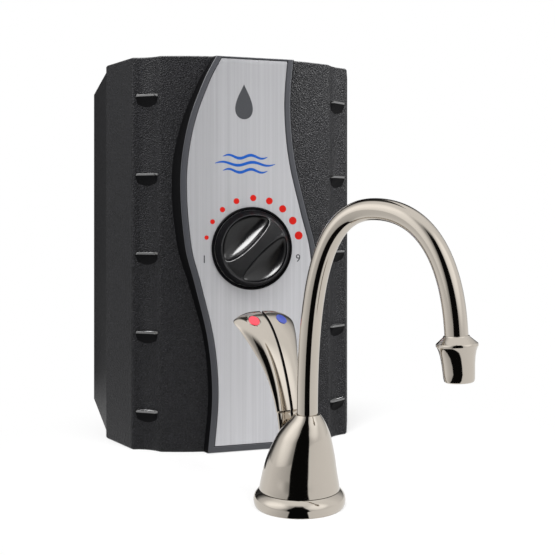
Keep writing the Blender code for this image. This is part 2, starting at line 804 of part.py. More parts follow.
def rear_shell():
    low = REAR_LIFT
    high = CASE_HEIGHT - REAR_LIFT
    shell = body("rear_shell", prism(rear_outline(SEAM + GAP), low, high), "grained_black_plastic")
    round_edges(shell, CASE_EDGE_ROUND, 1)
    inside = offset_outline(rear_outline(SEAM - CASE_WALL - OVERRUN), -CASE_WALL)
    combine(shell, cutter("rear_hollow", prism(inside, low + CASE_WALL, high - CASE_WALL)))
    sleeves = []
    holes = []
    for x, z in corner_places():
        sleeve = lying_rod(COUNTERBORE_RADIUS + CASE_WALL / 2, POST_SPLIT + GAP, CASE_BACK - CASE_WALL / 2)
        sleeves.append(moved(sleeve, x, 0, z))
        end = CASE_BACK + OVERRUN
        way = stepped_rod(POST_SPLIT - OVERRUN, SCREW_SEAT, end, SCREW_RADIUS + GAP, COUNTERBORE_RADIUS)
        holes.append(moved(laid(way), x, 0, z))
    join(shell, cutter("rear_sleeves", together([*sleeves, *rear_feet(low)])))
    for index in range(-1, 2):
        stub_way = rod(STUB_RADIUS + GAP, high - CASE_WALL - OVERRUN, high + OVERRUN)
        holes.append(moved(stub_way, index * PORT_PITCH, TANK_Y))
    drain_way = rod(DRAIN_PLUG_HEAD - CASE_WALL + GAP, 0, low + CASE_WALL + OVERRUN)
    holes.append(moved(drain_way, 0, TANK_Y + DRAIN_OFFSET))
    gland_way = rod(GLAND_RADIUS + GAP, -CASE_WALL - OVERRUN, OVERRUN, HIDDEN_SEGMENTS)
    combine(shell, cutter("rear_holes", together(holes)))
    combine(
        shell,
        cutter("gland_hole", gland_way, (CASE_HALF_WIDTH, GLAND_Y, GLAND_Z), (0, math.pi / 2, 0)),
    )


def screw_shape(seat, length):
    """A pan-head screw along Y whose head rests on a seat."""
    head = seat + SCREW_HEAD_HEIGHT
    return laid(stepped_rod(seat - length, seat, head, SCREW_RADIUS, SCREW_HEAD_RADIUS))


def case_screws():
    for index, (x, z) in enumerate(corner_places()):
        screw = screw_shape(SCREW_SEAT + GAP, SCREW_LENGTH)
        body(f"case_screw_{index + 1}", screw, "stainless_steel", (x, 0, z))


def panel_frame():
    low = PANEL_MARGIN_Z
    high = CASE_HEIGHT - PANEL_MARGIN_Z
    levels = (
        (PANEL_BACK, RIM_SIDE + PANEL_DEPTH * PANEL_FLANK_SLOPE, 0.0),
        (PANEL_FRONT - RIM_ROUND, RIM_SIDE, 0.0),
        (PANEL_FRONT, RIM_SIDE - RIM_ROUND, RIM_ROUND),
    )
    rings = [
        [Vector((x, z, level)) for x, z in panel_outline(margin, low + trim, high - trim)]
        for level, margin, trim in levels
    ]
    frame = body("panel_frame", loft(rings), "smooth_dark_plastic", rotation=FACING)
    clearance = offset_outline(front_outline(SEAM), GAP)
    combine(frame, cutter("case_clearance", prism(clearance, -OVERRUN, CASE_HEIGHT + OVERRUN)))
    seat_back = PANEL_FRONT - PLATE_SUNK - PLATE_THICKNESS - GAP
    seat = panel_outline(0.0, low + RIM_BOTTOM, high - RIM_TOP)
    window = panel_outline(-SEAT_WIDTH, low + RIM_BOTTOM + SEAT_WIDTH, high - RIM_TOP - SEAT_WIDTH)
    combine(frame, cutter("plate_seat", prism(seat, seat_back, PANEL_FRONT + OVERRUN), rotation=FACING))
    combine(frame, cutter("frame_window", prism(window, PANEL_BACK - OVERRUN, PANEL_FRONT), rotation=FACING))


def face_plate():
    low = PANEL_MARGIN_Z + RIM_BOTTOM + GAP
    high = CASE_HEIGHT - PANEL_MARGIN_Z - RIM_TOP - GAP
    front = PANEL_FRONT - PLATE_SUNK
    outline = panel_outline(-GAP, low, high)
    plate = body("face_plate", prism(outline, front - PLATE_THICKNESS, front), "brushed_plate", rotation=FACING)
    way = moved(rod(SHAFT_RADIUS + 2 * GAP, front - OVERRUN, front + OVERRUN), 0, PANEL_CENTRE_Z)
    combine(plate, cutter("plate_shaft_hole", way, rotation=FACING))


def dial_bezel():
    foot = PANEL_FRONT - PLATE_SUNK + GAP
    inner = BEZEL_RADIUS - BEZEL_WIDTH
    profile = [
        (inner, foot), (BEZEL_RADIUS, foot), (BEZEL_RADIUS, foot + BEZEL_HEIGHT - BEZEL_ROUND),
        (BEZEL_RADIUS - BEZEL_ROUND, foot + BEZEL_HEIGHT), (inner + BEZEL_ROUND / 2, foot + BEZEL_HEIGHT),
        (inner, foot + BEZEL_HEIGHT - BEZEL_ROUND),
    ]
    body("dial_bezel", turned(profile), "gloss_black_plastic", (0, 0, PANEL_CENTRE_Z), FACING)


def scoop_outline(shrink):
    """One finger scoop seen from the front, for a grip bar along X: a circle cut by the waisted bar."""
    outline = []
    fall = SCOOP_CENTRE - GRIP_HALF_WIDTH
    for step in range(SCOOP_STEPS):
        turn = math.tau * step / SCOOP_STEPS
        across = math.cos(turn)
        up = math.sin(turn)
        to_rim = math.sqrt((SCOOP_CENTRE * up) ** 2 + SCOOP_RADIUS**2 - SCOOP_CENTRE**2) - SCOOP_CENTRE * up
        # The bar widens with the square of the distance from the middle, by this much at the scoop's radius.
        flare = (GRIP_FLARE_POINTER if across > 0 else GRIP_FLARE_TAIL) / SCOOP_RADIUS**2
        spread = 4 * flare * fall * across**2
        to_bar = 2 * fall / max(math.sqrt(up**2 + spread) - up, WELD)
        reach = (to_rim**-SCOOP_CORNER_POWER + to_bar**-SCOOP_CORNER_POWER) ** (-1 / SCOOP_CORNER_POWER)
        outline.append((shrink * reach * across, SCOOP_CENTRE + shrink * reach * up))
    return outline


def finger_scoops(foot):
    """Both scoops as bowls that deepen toward the plate."""
    scoops = []
    depth = SCOOP_FULL - SCOOP_FLOOR
    for side in (1, -1):
        rings = [[Vector((x * side, y * side, foot + KNOB_HEIGHT + OVERRUN)) for x, y in scoop_outline(1.0)]]
        for degrees in SCOOP_DEPTH_TURNS:
            turn = math.radians(degrees)
            level = foot + SCOOP_FULL - depth * math.sin(turn)
            rings.append([Vector((x * side, y * side, level)) for x, y in scoop_outline(math.cos(turn))])
        scoops.append(loft(rings))
    return together(scoops)


def d_outline(radius, flat, steps=SMALL_SEGMENTS):
    """A round shaft with one flat."""
    return [(x, min(y, flat)) for x, y in circle(radius, steps)]


def thermostat_knob():
    front = PANEL_FRONT - PLATE_SUNK
    foot = KNOB_FOOT
    profile = [
        (KNOB_RADIUS * radius, foot + (KNOB_HEIGHT - foot) * height)
        for height, radius in (reversed([(h, r) for r, h in KNOB_PROFILE_SHARES]))
    ]
    turn = (math.pi / 2, KNOB_TURN, 0)
    place = (0, -front, PANEL_CENTRE_Z)
    knob = body("thermostat_knob", turned([(0, foot), *profile]), "gloss_black_plastic", place, turn)
    combine(knob, cutter("knob_scoops", finger_scoops(0.0), place, turn))
    socket = d_outline(SHAFT_RADIUS + GAP, SHAFT_RADIUS * SHAFT_FLAT_SHARE + GAP)
    combine(knob, cutter("knob_socket", prism(socket, -OVERRUN, SHAFT_GRIP + GAP), place, turn))
    back = thermostat_front() + BRACKET_THICKNESS
    shaft = prism(d_outline(SHAFT_RADIUS, SHAFT_RADIUS * SHAFT_FLAT_SHARE), -(front + back), SHAFT_GRIP)
    body("thermostat_shaft", shaft, "stainless_steel", place, turn)


def thermostat_front():
    """Where the thermostat's bracket begins, behind the bosses, along Y."""
    return bow_y(BOSS_X) + CASE_WALL / 2 + BOSS_LENGTH + GAP


def thermostat():
    start = thermostat_front()
    outline = rounded_box(BRACKET_HALF_WIDTH, BRACKET_HALF_HEIGHT, BRACKET_CORNER)
    bracket = body(
        "thermostat_bracket", prism(outline, 0, BRACKET_THICKNESS), "stainless_steel",
        (0, start + BRACKET_THICKNESS, PANEL_CENTRE_Z), FACING,
    )
    ways = [rod(SHAFT_RADIUS + 2 * GAP, -OVERRUN, OVERRUN)]
    for x in (-BOSS_X, BOSS_X):
        ways.append(moved(rod(SCREW_RADIUS + GAP, -OVERRUN, OVERRUN, 10), x))
    combine(bracket, cutter("bracket_holes", together(ways), (0, start, PANEL_CENTRE_Z), FACING))
    back = start + BRACKET_THICKNESS + GAP
    outline = rounded_box(THERMOSTAT_HALF_WIDTH, THERMOSTAT_HALF_HEIGHT, THERMOSTAT_CORNER)
    body(
        "thermostat_body", prism(outline, 0, THERMOSTAT_DEPTH), "natural_nylon",
        (0, back + THERMOSTAT_DEPTH, PANEL_CENTRE_Z), FACING,
    )
    for index, x in enumerate((-BOSS_X, BOSS_X)):
        screw = screw_shape(start + BRACKET_THICKNESS + GAP, BOSS_LENGTH)
        body(f"bracket_screw_{index + 1}", screw, "stainless_steel", (x, 0, PANEL_CENTRE_Z))
    tank_front = TANK_Y - TANK_RADIUS
    bulb_y = tank_front - GAP - BULB_RADIUS
    body_foot = PANEL_CENTRE_Z - THERMOSTAT_HALF_HEIGHT - GAP
    middle = back + THERMOSTAT_DEPTH / 2
    bend = (bulb_y - middle) / 2
    path = [
        Vector((0, bulb_y, BULB_TOP - BULB_LENGTH)), Vector((0, bulb_y, BULB_TOP)),
        Vector((0, bulb_y, BULB_TOP + BULB_RADIUS)), Vector((0, bulb_y, BULB_TOP + bend)),
        Vector((0, middle + bend, (BULB_TOP + body_foot) / 2)), Vector((0, middle, body_foot - bend / 2)),
        Vector((0, middle, body_foot)),
    ]
    radii = [BULB_RADIUS, BULB_RADIUS, *[CAPILLARY_RADIUS] * 5]
    body("sensing_bulb", swept(path, radii, 10), "copper")


def thermal_cutout():
    back = TANK_Y - TANK_RADIUS - GAP
    disc = body(
        "thermal_cutout", rod(CUTOUT_RADIUS, 0, CUTOUT_DEPTH, HIDDEN_SEGMENTS), "natural_nylon",
        (0, back, CUTOUT_Z), FACING,
    )
    tabs = []
    root = CUTOUT_DEPTH - CUTOUT_TAB_WIDTH / 2
    for x in (-CUTOUT_TAB_X, CUTOUT_TAB_X):
        outline = rounded_box(CUTOUT_TAB_THICKNESS / 2, CUTOUT_TAB_WIDTH / 2, CUTOUT_TAB_THICKNESS / 4, 1)
        tabs.append(moved(prism(outline, root, CUTOUT_DEPTH + CUTOUT_TAB_LENGTH), x))
    join(disc, cutter("cutout_tabs", together(tabs), (0, back, CUTOUT_Z), FACING))


def terminal_block():
    low = CASE_WALL + GAP
    outline = rounded_box(TERMINAL_HALF_LENGTH, TERMINAL_HALF_DEPTH, TERMINAL_CORNER)
    shape = prism(outline, low, low + TERMINAL_HEIGHT)
    block = body("terminal_block", shape, "natural_nylon", (0, TERMINAL_Y, 0))
    wells = []
    for index in range(TERMINAL_WAYS):
        x = (index - (TERMINAL_WAYS - 1) / 2) * TERMINAL_PITCH
        top = low + TERMINAL_HEIGHT
        wells.append(moved(rod(TERMINAL_WELL_RADIUS, top - TERMINAL_WELL_DEPTH, top + OVERRUN), x))
    combine(block, cutter("terminal_wells", together(wells), (0, TERMINAL_Y, 0)))


def tank_arc(centre_r, centre_z, start, end, steps=TANK_CORNER_STEPS):
    """Points of a quarter round in a turned profile."""
    turns = [math.radians(start + (end - start) * step / steps) for step in range(steps + 1)]
    return [(centre_r, centre_z, turn) for turn in turns]


def tank_profile(inset):
    """The tank's wall from its foot port to its top port, inset from the outside."""
    corner = TANK_CORNER - inset
    low = TANK_FLOOR + TANK_CORNER
    high = TANK_TOP - TANK_CORNER
    reach = TANK_RADIUS - TANK_CORNER
    arc = tank_arc(reach, low, -90, 0) + tank_arc(reach, high, 0, 90)
    return [(r + corner * math.cos(turn), z + corner * math.sin(turn)) for r, z, turn in arc]


def water_tank():
    outer = tank_profile(0.0)
    inner = tank_profile(TANK_WALL)
    profile = [
        (ELEMENT_PORT_RADIUS, TANK_FLOOR), *outer, (TOP_PORT_RADIUS, TANK_TOP),
        (TOP_PORT_RADIUS, TANK_TOP - TANK_WALL), *reversed(inner),
        (ELEMENT_PORT_RADIUS, TANK_FLOOR + TANK_WALL),
    ]
    tank = body("water_tank", turned(profile, TANK_SEGMENTS), "stainless_steel", (0, TANK_Y, 0))
    way = moved(rod(DRAIN_BORE, TANK_FLOOR - OVERRUN, TANK_FLOOR + OVERRUN), 0, DRAIN_OFFSET)
    combine(tank, cutter("tank_drain_hole", way, (0, TANK_Y, 0)))
    foot = REAR_LIFT + CASE_WALL + GAP
    cradle = tube(CRADLE_RADIUS, CRADLE_RADIUS - CRADLE_WALL, foot, TANK_FLOOR - GAP, HIDDEN_SEGMENTS)
    body("tank_cradle", cradle, "natural_nylon", (0, TANK_Y, 0))


def foam(side, name):
    """Half of the insulation, wrapped round the tank from the front channel to the back."""
    reach = TANK_RADIUS + GAP
    start = math.asin(FOAM_CHANNEL / reach)
    arc = []
    for step in range(FOAM_STEPS + 1):
        turn = start + (math.pi - math.asin(GAP / reach) - start) * step / FOAM_STEPS
        arc.append((reach * math.sin(turn), TANK_Y - reach * math.cos(turn)))
    outline = [
        (FOAM_CHANNEL, FOAM_FRONT), (FOAM_SHOULDER_X, FOAM_FRONT), (FOAM_HALF_WIDTH, FOAM_SHOULDER_Y),
        (FOAM_HALF_WIDTH, FOAM_BACK), (GAP, FOAM_BACK), *reversed(arc),
    ]
    outline = [(side * x, y) for x, y in outline]
    body(name, prism(outline, REAR_LIFT + CASE_WALL + GAP, FOAM_TOP), "white_foam")


def heater():
    gasket_top = TANK_FLOOR - GAP
    gasket_foot = gasket_top - ELEMENT_GASKET_THICKNESS
    gasket = tube(FLANGE_PLATE_RADIUS, ELEMENT_PORT_RADIUS, gasket_foot, gasket_top, HIDDEN_SEGMENTS)
    place = (0, TANK_Y, 0)
    body("element_gasket", gasket, "black_rubber", place)
    top = gasket_foot - GAP
    foot = top - FLANGE_PLATE_THICKNESS
    flange = body("element_flange", rod(FLANGE_PLATE_RADIUS, foot, top, HIDDEN_SEGMENTS), "brass", place)
    ways = []
    for x in (-ELEMENT_SPREAD, ELEMENT_SPREAD):
        ways.append(moved(rod(ELEMENT_RADIUS + GAP, foot - OVERRUN, top + OVERRUN), x))
    combine(flange, cutter("element_ways", together(ways), place))
    for index in range(FLANGE_SCREW_COUNT):
        turn = math.tau * (index + 1 / 2) / FLANGE_SCREW_COUNT
        head = rod(FLANGE_SCREW_HEAD, foot - GAP - FLANGE_SCREW_HEIGHT, foot - GAP, 6)
        x = FLANGE_SCREW_RING * math.cos(turn)
        y = TANK_Y + FLANGE_SCREW_RING * math.sin(turn)
        body(f"flange_screw_{index + 1}", head, "stainless_steel", (x, y, 0))
    path = [
        Vector((-ELEMENT_SPREAD, 0, ELEMENT_FOOT)),
        Vector((-ELEMENT_SPREAD, 0, ELEMENT_FOOT + ELEMENT_PIN)),
    ]
    bend_z = ELEMENT_TOP - ELEMENT_SPREAD
    path.append(path[-1] + Vector((0, 0, ELEMENT_PIN_RADIUS)))
    for step in range(ELEMENT_BEND_STEPS + 1):
        turn = math.pi * step / ELEMENT_BEND_STEPS
        path.append(Vector((-ELEMENT_SPREAD * math.cos(turn), 0, bend_z + ELEMENT_SPREAD * math.sin(turn))))
    path += [Vector((ELEMENT_SPREAD, 0, point.z)) for point in reversed(path[:3])]
    thick = [ELEMENT_RADIUS] * (len(path) - 4)
    radii = [ELEMENT_PIN_RADIUS, ELEMENT_PIN_RADIUS, *thick, ELEMENT_PIN_RADIUS, ELEMENT_PIN_RADIUS]
    body("heating_element", swept(path, radii, 10), "stainless_steel", place)


def ports():
    place = (0, TANK_Y, 0)
    top = TANK_TOP
    plug = TOP_PORT_RADIUS - GAP
    profile = [
        (0, top - PORT_PLUG_DEPTH), (plug, top - PORT_PLUG_DEPTH), (plug, top + GAP),
        (PORT_BLOCK_RADIUS, top + GAP), (PORT_BLOCK_RADIUS, top + GAP + PORT_BLOCK_THICKNESS),
        (0, top + GAP + PORT_BLOCK_THICKNESS),
    ]
    block = body("port_block", turned(profile, HIDDEN_SEGMENTS), "natural_nylon", place)
    ways = []
    seat = top - PORT_PLUG_DEPTH / 2
    start = top - PORT_PLUG_DEPTH - OVERRUN
    end = top + PORT_BLOCK_THICKNESS + OVERRUN
    for index in range(-1, 2):
        way = stepped_rod(start, seat, end, STUB_BORE_RADIUS, STUB_RADIUS + GAP)
        ways.append(moved(way, index * PORT_PITCH))
    combine(block, cutter("port_ways", together(ways), place))
    stub = [(STUB_BORE_RADIUS, seat + GAP), (STUB_RADIUS, seat + GAP)]
    first = STUB_TOP - BARB_PITCH * BARB_COUNT
    for index in range(BARB_COUNT):
        level = first + BARB_PITCH * index
        stub += [(STUB_RADIUS - STUB_BARB, level), (STUB_RADIUS, level + STUB_BARB / 2)]
    stub += [(STUB_RADIUS - 2 * STUB_BARB, STUB_TOP), (STUB_BORE_RADIUS, STUB_TOP)]
    for index, name in enumerate(("hot_outlet_stub", "vent_stub", "cold_inlet_stub")):
        body(name, turned(stub, SMALL_SEGMENTS), "brass", ((index - 1) * PORT_PITCH, TANK_Y, 0))
    low = CASE_HEIGHT - REAR_LIFT + GAP
    outline = rounded_box(COLLAR_HALF_WIDTH, COLLAR_HALF_DEPTH, COLLAR_ROUND, COLLAR_ROUND_STEPS)
    collar = body("port_collar", prism(outline, low, low + COLLAR_THICKNESS), "smooth_dark_plastic", place)
    ways = []
    for index in range(-1, 2):
        ways.append(moved(rod(STUB_RADIUS + GAP, low - OVERRUN, low + OVERRUN), index * PORT_PITCH))
    combine(collar, cutter("collar_holes", together(ways), place))


def drain():
    place = (0, TANK_Y + DRAIN_OFFSET, 0)
    low = REAR_LIFT + CASE_WALL + GAP
    top = TANK_FLOOR - GAP
    flare = TANK_WALL
    profile = [
        (DRAIN_BORE, low), (DRAIN_RADIUS, low), (DRAIN_RADIUS, top - flare), (DRAIN_FLARE, top - flare),
        (DRAIN_FLARE, top), (DRAIN_BORE, top),
    ]
    body("drain_spout", turned(profile, 16), "brass", place)
    under = REAR_LIFT - GAP
    shank = DRAIN_BORE - GAP
    profile = [
        (0, under - DRAIN_PLUG_HEAD_HEIGHT), (DRAIN_PLUG_HEAD, under - DRAIN_PLUG_HEAD_HEIGHT),
        (DRAIN_PLUG_HEAD, under), (shank, under), (shank, under + DRAIN_PLUG_LENGTH),
        (0, under + DRAIN_PLUG_LENGTH),
    ]
    plug = body("drain_plug", turned(profile, 16), "brass", place)
    slot = rounded_box(DRAIN_SLOT_HALF_LENGTH, DRAIN_SLOT_WIDTH / 2, DRAIN_SLOT_WIDTH / 4, 1)
    foot = under - DRAIN_PLUG_HEAD_HEIGHT
    combine(plug, cutter("plug_slot", prism(slot, foot - OVERRUN, foot + DRAIN_SLOT_DEPTH), place))


def gland():
    wall = CASE_HALF_WIDTH - REAR_STEP
    place = (wall, GLAND_Y, GLAND_Z)
    turn = (0, math.pi / 2, 0)
    profile = [
        (GLAND_BORE, -GLAND_DEPTH), (GLAND_RADIUS, -GLAND_DEPTH), (GLAND_RADIUS, GAP), (GLAND_FLANGE, GAP),
        (GLAND_FLANGE, GLAND_FLANGE_HEIGHT - GLAND_ROUND), (GLAND_FLANGE - GLAND_ROUND, GLAND_FLANGE_HEIGHT),
        (GLAND_BORE, GLAND_FLANGE_HEIGHT),
    ]
    body("power_gland", turned(profile, HIDDEN_SEGMENTS), "gloss_black_plastic", place, turn)
    top = -CASE_WALL - REAR_STEP
    nut = tube(GLAND_NUT_RADIUS, GLAND_RADIUS + GAP, top - GLAND_NUT_THICKNESS, top, HIDDEN_SEGMENTS)
    body("gland_nut", nut, "gloss_black_plastic", place, turn)


def flange_and_gasket(frame):
    side = [(FLANGE_RADIUS * radius, FLANGE_HEIGHT * height) for height, radius in FLANGE_SHARES]
    recess = GASKET_THICKNESS + GAP
    profile = [
        (GASKET_RADIUS + GAP, 0), *side, (FLANGE_TOP_BORE, FLANGE_HEIGHT),
        (FLANGE_TOP_BORE, BODY_FOOT), (FLANGE_BORE, BODY_FOOT), (FLANGE_BORE, recess),
        (GASKET_RADIUS + GAP, recess),
    ]
    body("base_flange", turned(profile, BELL_SEGMENTS), "polished_nickel", parent=frame)
    ring = tube(GASKET_RADIUS, FLANGE_BORE, 0, GASKET_THICKNESS, HIDDEN_SEGMENTS)
    body("base_gasket", ring, "black_rubber", parent=frame)


def bell_rings(inset, low, high, segments):
    """Rings of the leaning bell between two heights."""
    rings = []
    height = BELL_TOP - BELL_FOOT
    levels = [share for share, _, _ in BELL_SHARES if low < BELL_FOOT + height * share < high]
    for share in [(low - BELL_FOOT) / height, *levels, (high - BELL_FOOT) / height]:
        inside = min(max(share, 0.0), 1.0)
        radius = BELL_RADIUS * smooth_share([(s, r) for s, r, _ in BELL_SHARES], inside) - inset
        lean = SPOUT_OFFSET * smooth_share([(s, o) for s, _, o in BELL_SHARES], inside)
        level = BELL_FOOT + height * share
        rings.append([Vector((x, y, level)) for x, y in circle(radius, segments, lean)])
    return rings


def base_bell(frame):
    outside = loft(bell_rings(0.0, BELL_FOOT, BELL_TOP, BELL_SEGMENTS))
    bell = body("base_bell", outside, "polished_nickel", parent=frame)
    hollow = loft(bell_rings(BELL_WALL, BELL_FOOT - OVERRUN, BELL_CROWN, HOLLOW_SEGMENTS))
    combine(bell, cutter("bell_hollow", hollow, parent=frame))
    bore = rod(SPOUT_RADIUS + GAP, BELL_CROWN - OVERRUN, BELL_TOP + OVERRUN, SPOUT_SIDES)
    combine(bell, cutter("bell_bore", moved(bore, SPOUT_OFFSET), parent=frame))
    reach = 2 * BELL_RADIUS
    slot = [
        (-reach, -SLOT_HALF_WIDTH), (SLOT_FRONT, -SLOT_HALF_WIDTH),
        (SLOT_FRONT, SLOT_HALF_WIDTH), (-reach, SLOT_HALF_WIDTH),
    ]
    combine(bell, cutter("lever_slot", prism(slot, SLOT_FLOOR, BELL_TOP + OVERRUN), parent=frame))


def valve_body(frame):
    low = BODY_FOOT + GAP
    block = body("valve_body", rod(BODY_RADIUS, low, BODY_TOP, HIDDEN_SEGMENTS), "brass", parent=frame)
    profile = [
        (0, BODY_TOP - GAP), (POST_NECK_RADIUS, BODY_TOP - GAP), (POST_NECK_RADIUS, CUP_FOOT),
        (CUP_RADIUS, CUP_FLOOR), (CUP_RADIUS, CUP_TOP), (0, CUP_TOP),
    ]
    tower = moved(turned(profile, HIDDEN_SEGMENTS), SPOUT_OFFSET)
    ears = []
    for side in (1, -1):
        near = side * EAR_INNER
        far = side * (EAR_INNER + EAR_THICKNESS)
        outline = [
            (PIVOT_X - EAR_HALF_LENGTH, near), (PIVOT_X + EAR_HALF_LENGTH, near),
            (PIVOT_X + EAR_HALF_LENGTH, far), (PIVOT_X - EAR_HALF_LENGTH, far),
        ]
        ears.append(prism(outline, BODY_TOP - GAP, EAR_TOP))
    join(block, cutter("valve_tower", together([tower, *ears]), parent=frame))
    cup = moved(rod(CUP_BORE, CUP_FLOOR, CUP_TOP + OVERRUN, HIDDEN_SEGMENTS), SPOUT_OFFSET)
    ways = [cup]
    for side in (1, -1):
        seat = rod(CARTRIDGE_RADIUS + GAP, CARTRIDGE_FOOT - GAP, BODY_TOP + OVERRUN)
        ways.append(moved(seat, CARTRIDGE_X, side * CARTRIDGE_Y))
    end = EAR_INNER + EAR_THICKNESS
    ways.append(moved(lying_rod(PIN_RADIUS + GAP, -end - OVERRUN, end + OVERRUN), PIVOT_X, 0, PIVOT_Z))
    combine(block, cutter("valve_ways", together(ways), parent=frame))
    pin = moved(lying_rod(PIN_RADIUS, -end, end), PIVOT_X, 0, PIVOT_Z)
    body("lever_pin", pin, "stainless_steel", parent=frame)


def cartridges(frame):
    head_top = PIVOT_Z - HEEL_DROP - GAP
    dome = [
        (PLUNGER_HEAD * math.cos(turn), head_top - PLUNGER_HEAD + PLUNGER_HEAD * math.sin(turn))
        for turn in [math.pi / 2 * step / 4 for step in range(5)]
    ]
    plunger = [
        (0, head_top - PLUNGER_LENGTH), (PLUNGER_RADIUS, head_top - PLUNGER_LENGTH),
        (PLUNGER_RADIUS, head_top - PLUNGER_HEAD - PLUNGER_RADIUS / 2),
        (PLUNGER_HEAD, head_top - PLUNGER_HEAD - PLUNGER_RADIUS / 2), *dome[:-1], (0, head_top),
    ]
    outer = CARTRIDGE_RADIUS
    bore = PLUNGER_RADIUS + GAP
    collar = outer + CARTRIDGE_COLLAR / 4
    cartridge = [
        (bore, CARTRIDGE_FOOT), (outer, CARTRIDGE_FOOT), (outer, BODY_TOP + GAP), (collar, BODY_TOP + GAP),
        (collar, BODY_TOP + GAP + CARTRIDGE_COLLAR), (outer, BODY_TOP + GAP + CARTRIDGE_COLLAR),
        (outer, CARTRIDGE_TOP), (bore, CARTRIDGE_TOP),
    ]
    for name, side in (("hot", -1), ("cold", 1)):
        place = (CARTRIDGE_X, side * CARTRIDGE_Y, 0)
        body(f"{name}_cartridge", turned(cartridge, SMALL_SEGMENTS), "natural_nylon", place, parent=frame)
        body(f"{name}_plunger", turned(plunger, SMALL_SEGMENTS), "brass", place, parent=frame)
    low = CARTRIDGE_TOP + GAP + SPRING_WIRE
    high = head_top - PLUNGER_HEAD - PLUNGER_RADIUS / 2 - GAP - SPRING_WIRE
    path = []
    for step in range(SPRING_TURNS * SPRING_STEPS + 1):
        share = step / (SPRING_TURNS * SPRING_STEPS)
        turn = math.tau * SPRING_TURNS * share
        level = low + (high - low) * share
        path.append(Vector((SPRING_RADIUS * math.cos(turn), SPRING_RADIUS * math.sin(turn), level)))
    place = (CARTRIDGE_X, -CARTRIDGE_Y, 0)
    body("hot_spring", swept(path, SPRING_WIRE, 4), "stainless_steel", place, parent=frame)


def lever_spine(share):
    """A point on the levers' inner face along the split, and the curve's direction there."""
    points = [
        Vector((0, 0, 0)),
        Vector((LEVER_FOOT_PULL_X - PIVOT_X, 0, LEVER_FOOT_PULL_Z - PIVOT_Z)),
        Vector((LEVER_TIP_PULL_X - PIVOT_X, 0, LEVER_TIP_PULL_Z - PIVOT_Z)),
        Vector((LEVER_TIP_X - PIVOT_X, 0, LEVER_TIP_Z - PIVOT_Z)),
    ]
    step = LEVER_SPINE_STEP_SHARE
    ahead = bezier(*points, share + step) - bezier(*points, share - step)
    return bezier(*points, share), ahead.normalized()


def lever_section(share, width_share, thickness_share, crown_share, step_share, side):
    """One closed section of a petal: its arched inner face, its outer edge and its back."""
    point, ahead = lever_spine(share)
    inward = Vector((ahead.z, 0, -ahead.x))
    width = LEVER_HALF_WIDTH * width_share
    thickness = LEVER_THICKNESS * thickness_share
    crown = LEVER_CROWN * crown_share
    sunk = LEVER_STEP * step_share
    front = []
    back = []
    for index in range(LEVER_WIDTH_POINTS):
        across = index / (LEVER_WIDTH_POINTS - 1)
        y = side * (LEVER_SPLIT + (width - LEVER_SPLIT) * across)
        fall = crown * across**2 + sunk
        edge = across**LEVER_EDGE_POWER
        front_depth = fall + thickness * LEVER_FRONT_EDGE_SHARE * edge
        back_depth = fall + thickness * (1 - LEVER_EDGE_SHARE * edge)
        front.append(point + Vector((0, y, 0)) - inward * front_depth)
        back.append(point + Vector((0, y, 0)) - inward * back_depth)
    return [*front, *reversed(back)]


def lever(name, side, frame, colour):
    place = (PIVOT_X, 0, PIVOT_Z)
    rings = [lever_section(share, w, t, c, s, side) for share, w, t, c, s in LEVER_SHARES]
    petal = body(name, loft(rings), "polished_nickel", place, parent=frame)
    near, far = sorted((side * LEVER_SPLIT, side * (SLOT_HALF_WIDTH - 2 * GAP)))
    hub = lying_rod(HUB_RADIUS, near, far, 20)
    heel = prism([(-HEEL_REACH, near), (0, near), (0, far), (-HEEL_REACH, far)], -HEEL_DROP, 0)
    join(petal, cutter(f"{name}_heel", heel, place, parent=frame))
    join(petal, cutter(f"{name}_hub", hub, place, parent=frame))
    way = lying_rod(PIN_RADIUS + GAP, -SLOT_HALF_WIDTH - OVERRUN, SLOT_HALF_WIDTH + OVERRUN)
    combine(petal, cutter(f"{name}_pin_hole", way, place, parent=frame))
    point, ahead = lever_spine(MARKER_SHARE)
    inward = Vector((ahead.z, 0, -ahead.x))
    across = MARKER_Y / LEVER_HALF_WIDTH
    slope = 2 * LEVER_CROWN * across / LEVER_HALF_WIDTH
    normal = (inward + Vector((0, side * slope, 0))).normalized()
    centre = point + Vector((0, side * MARKER_Y, 0)) - inward * LEVER_CROWN * across**2
    sideways = normal.cross(ahead).normalized()

    def oval(grow, depth):
        return [
            centre + ahead * (MARKER_LONG + grow) * x + sideways * (MARKER_SHORT + grow) * y + normal * depth
            for x, y in circle(1, MARKER_STEPS)
        ]

    pocket = loft([oval(GAP, -MARKER_THICKNESS - GAP), oval(GAP, OVERRUN)])
    combine(petal, cutter(f"{name}_pocket", pocket, place, parent=frame))
    marker = loft([oval(0, -MARKER_THICKNESS), oval(0, -GAP), oval(-GAP, GAP / 2)])
    body(name.replace("lever", "marker"), marker, colour, place, parent=frame)


def spout_path():
    """The bent tube's centre line, up from its foot, over the arch and down to the nozzle."""
    apex = Vector((SPOUT_APEX_REACH, 0, SPOUT_TOP))
    start = Vector((0, 0, SPOUT_RISE_START))
    end = Vector((SPOUT_REACH, 0, SPOUT_END))
    lean = Vector((math.sin(SPOUT_END_LEAN), 0, -math.cos(SPOUT_END_LEAN)))
    rise = [start, start + Vector((0, 0, SPOUT_RISE_PULL)), apex - Vector((SPOUT_APEX_PULL_IN, 0, 0)), apex]
    fall = [apex, apex + Vector((SPOUT_APEX_PULL_OUT, 0, 0)), end - lean * SPOUT_END_PULL, end]
    path = [Vector((0, 0, SPOUT_FOOT))]
    path += [bezier(*rise, step / SPOUT_STEPS) for step in range(SPOUT_STEPS)]
    path += [bezier(*fall, step / SPOUT_STEPS) for step in range(SPOUT_STEPS)]
    return [*path, end, end + lean * (NOZZLE_SETBACK + NOZZLE_INSERT)], end + lean * NOZZLE_SETBACK


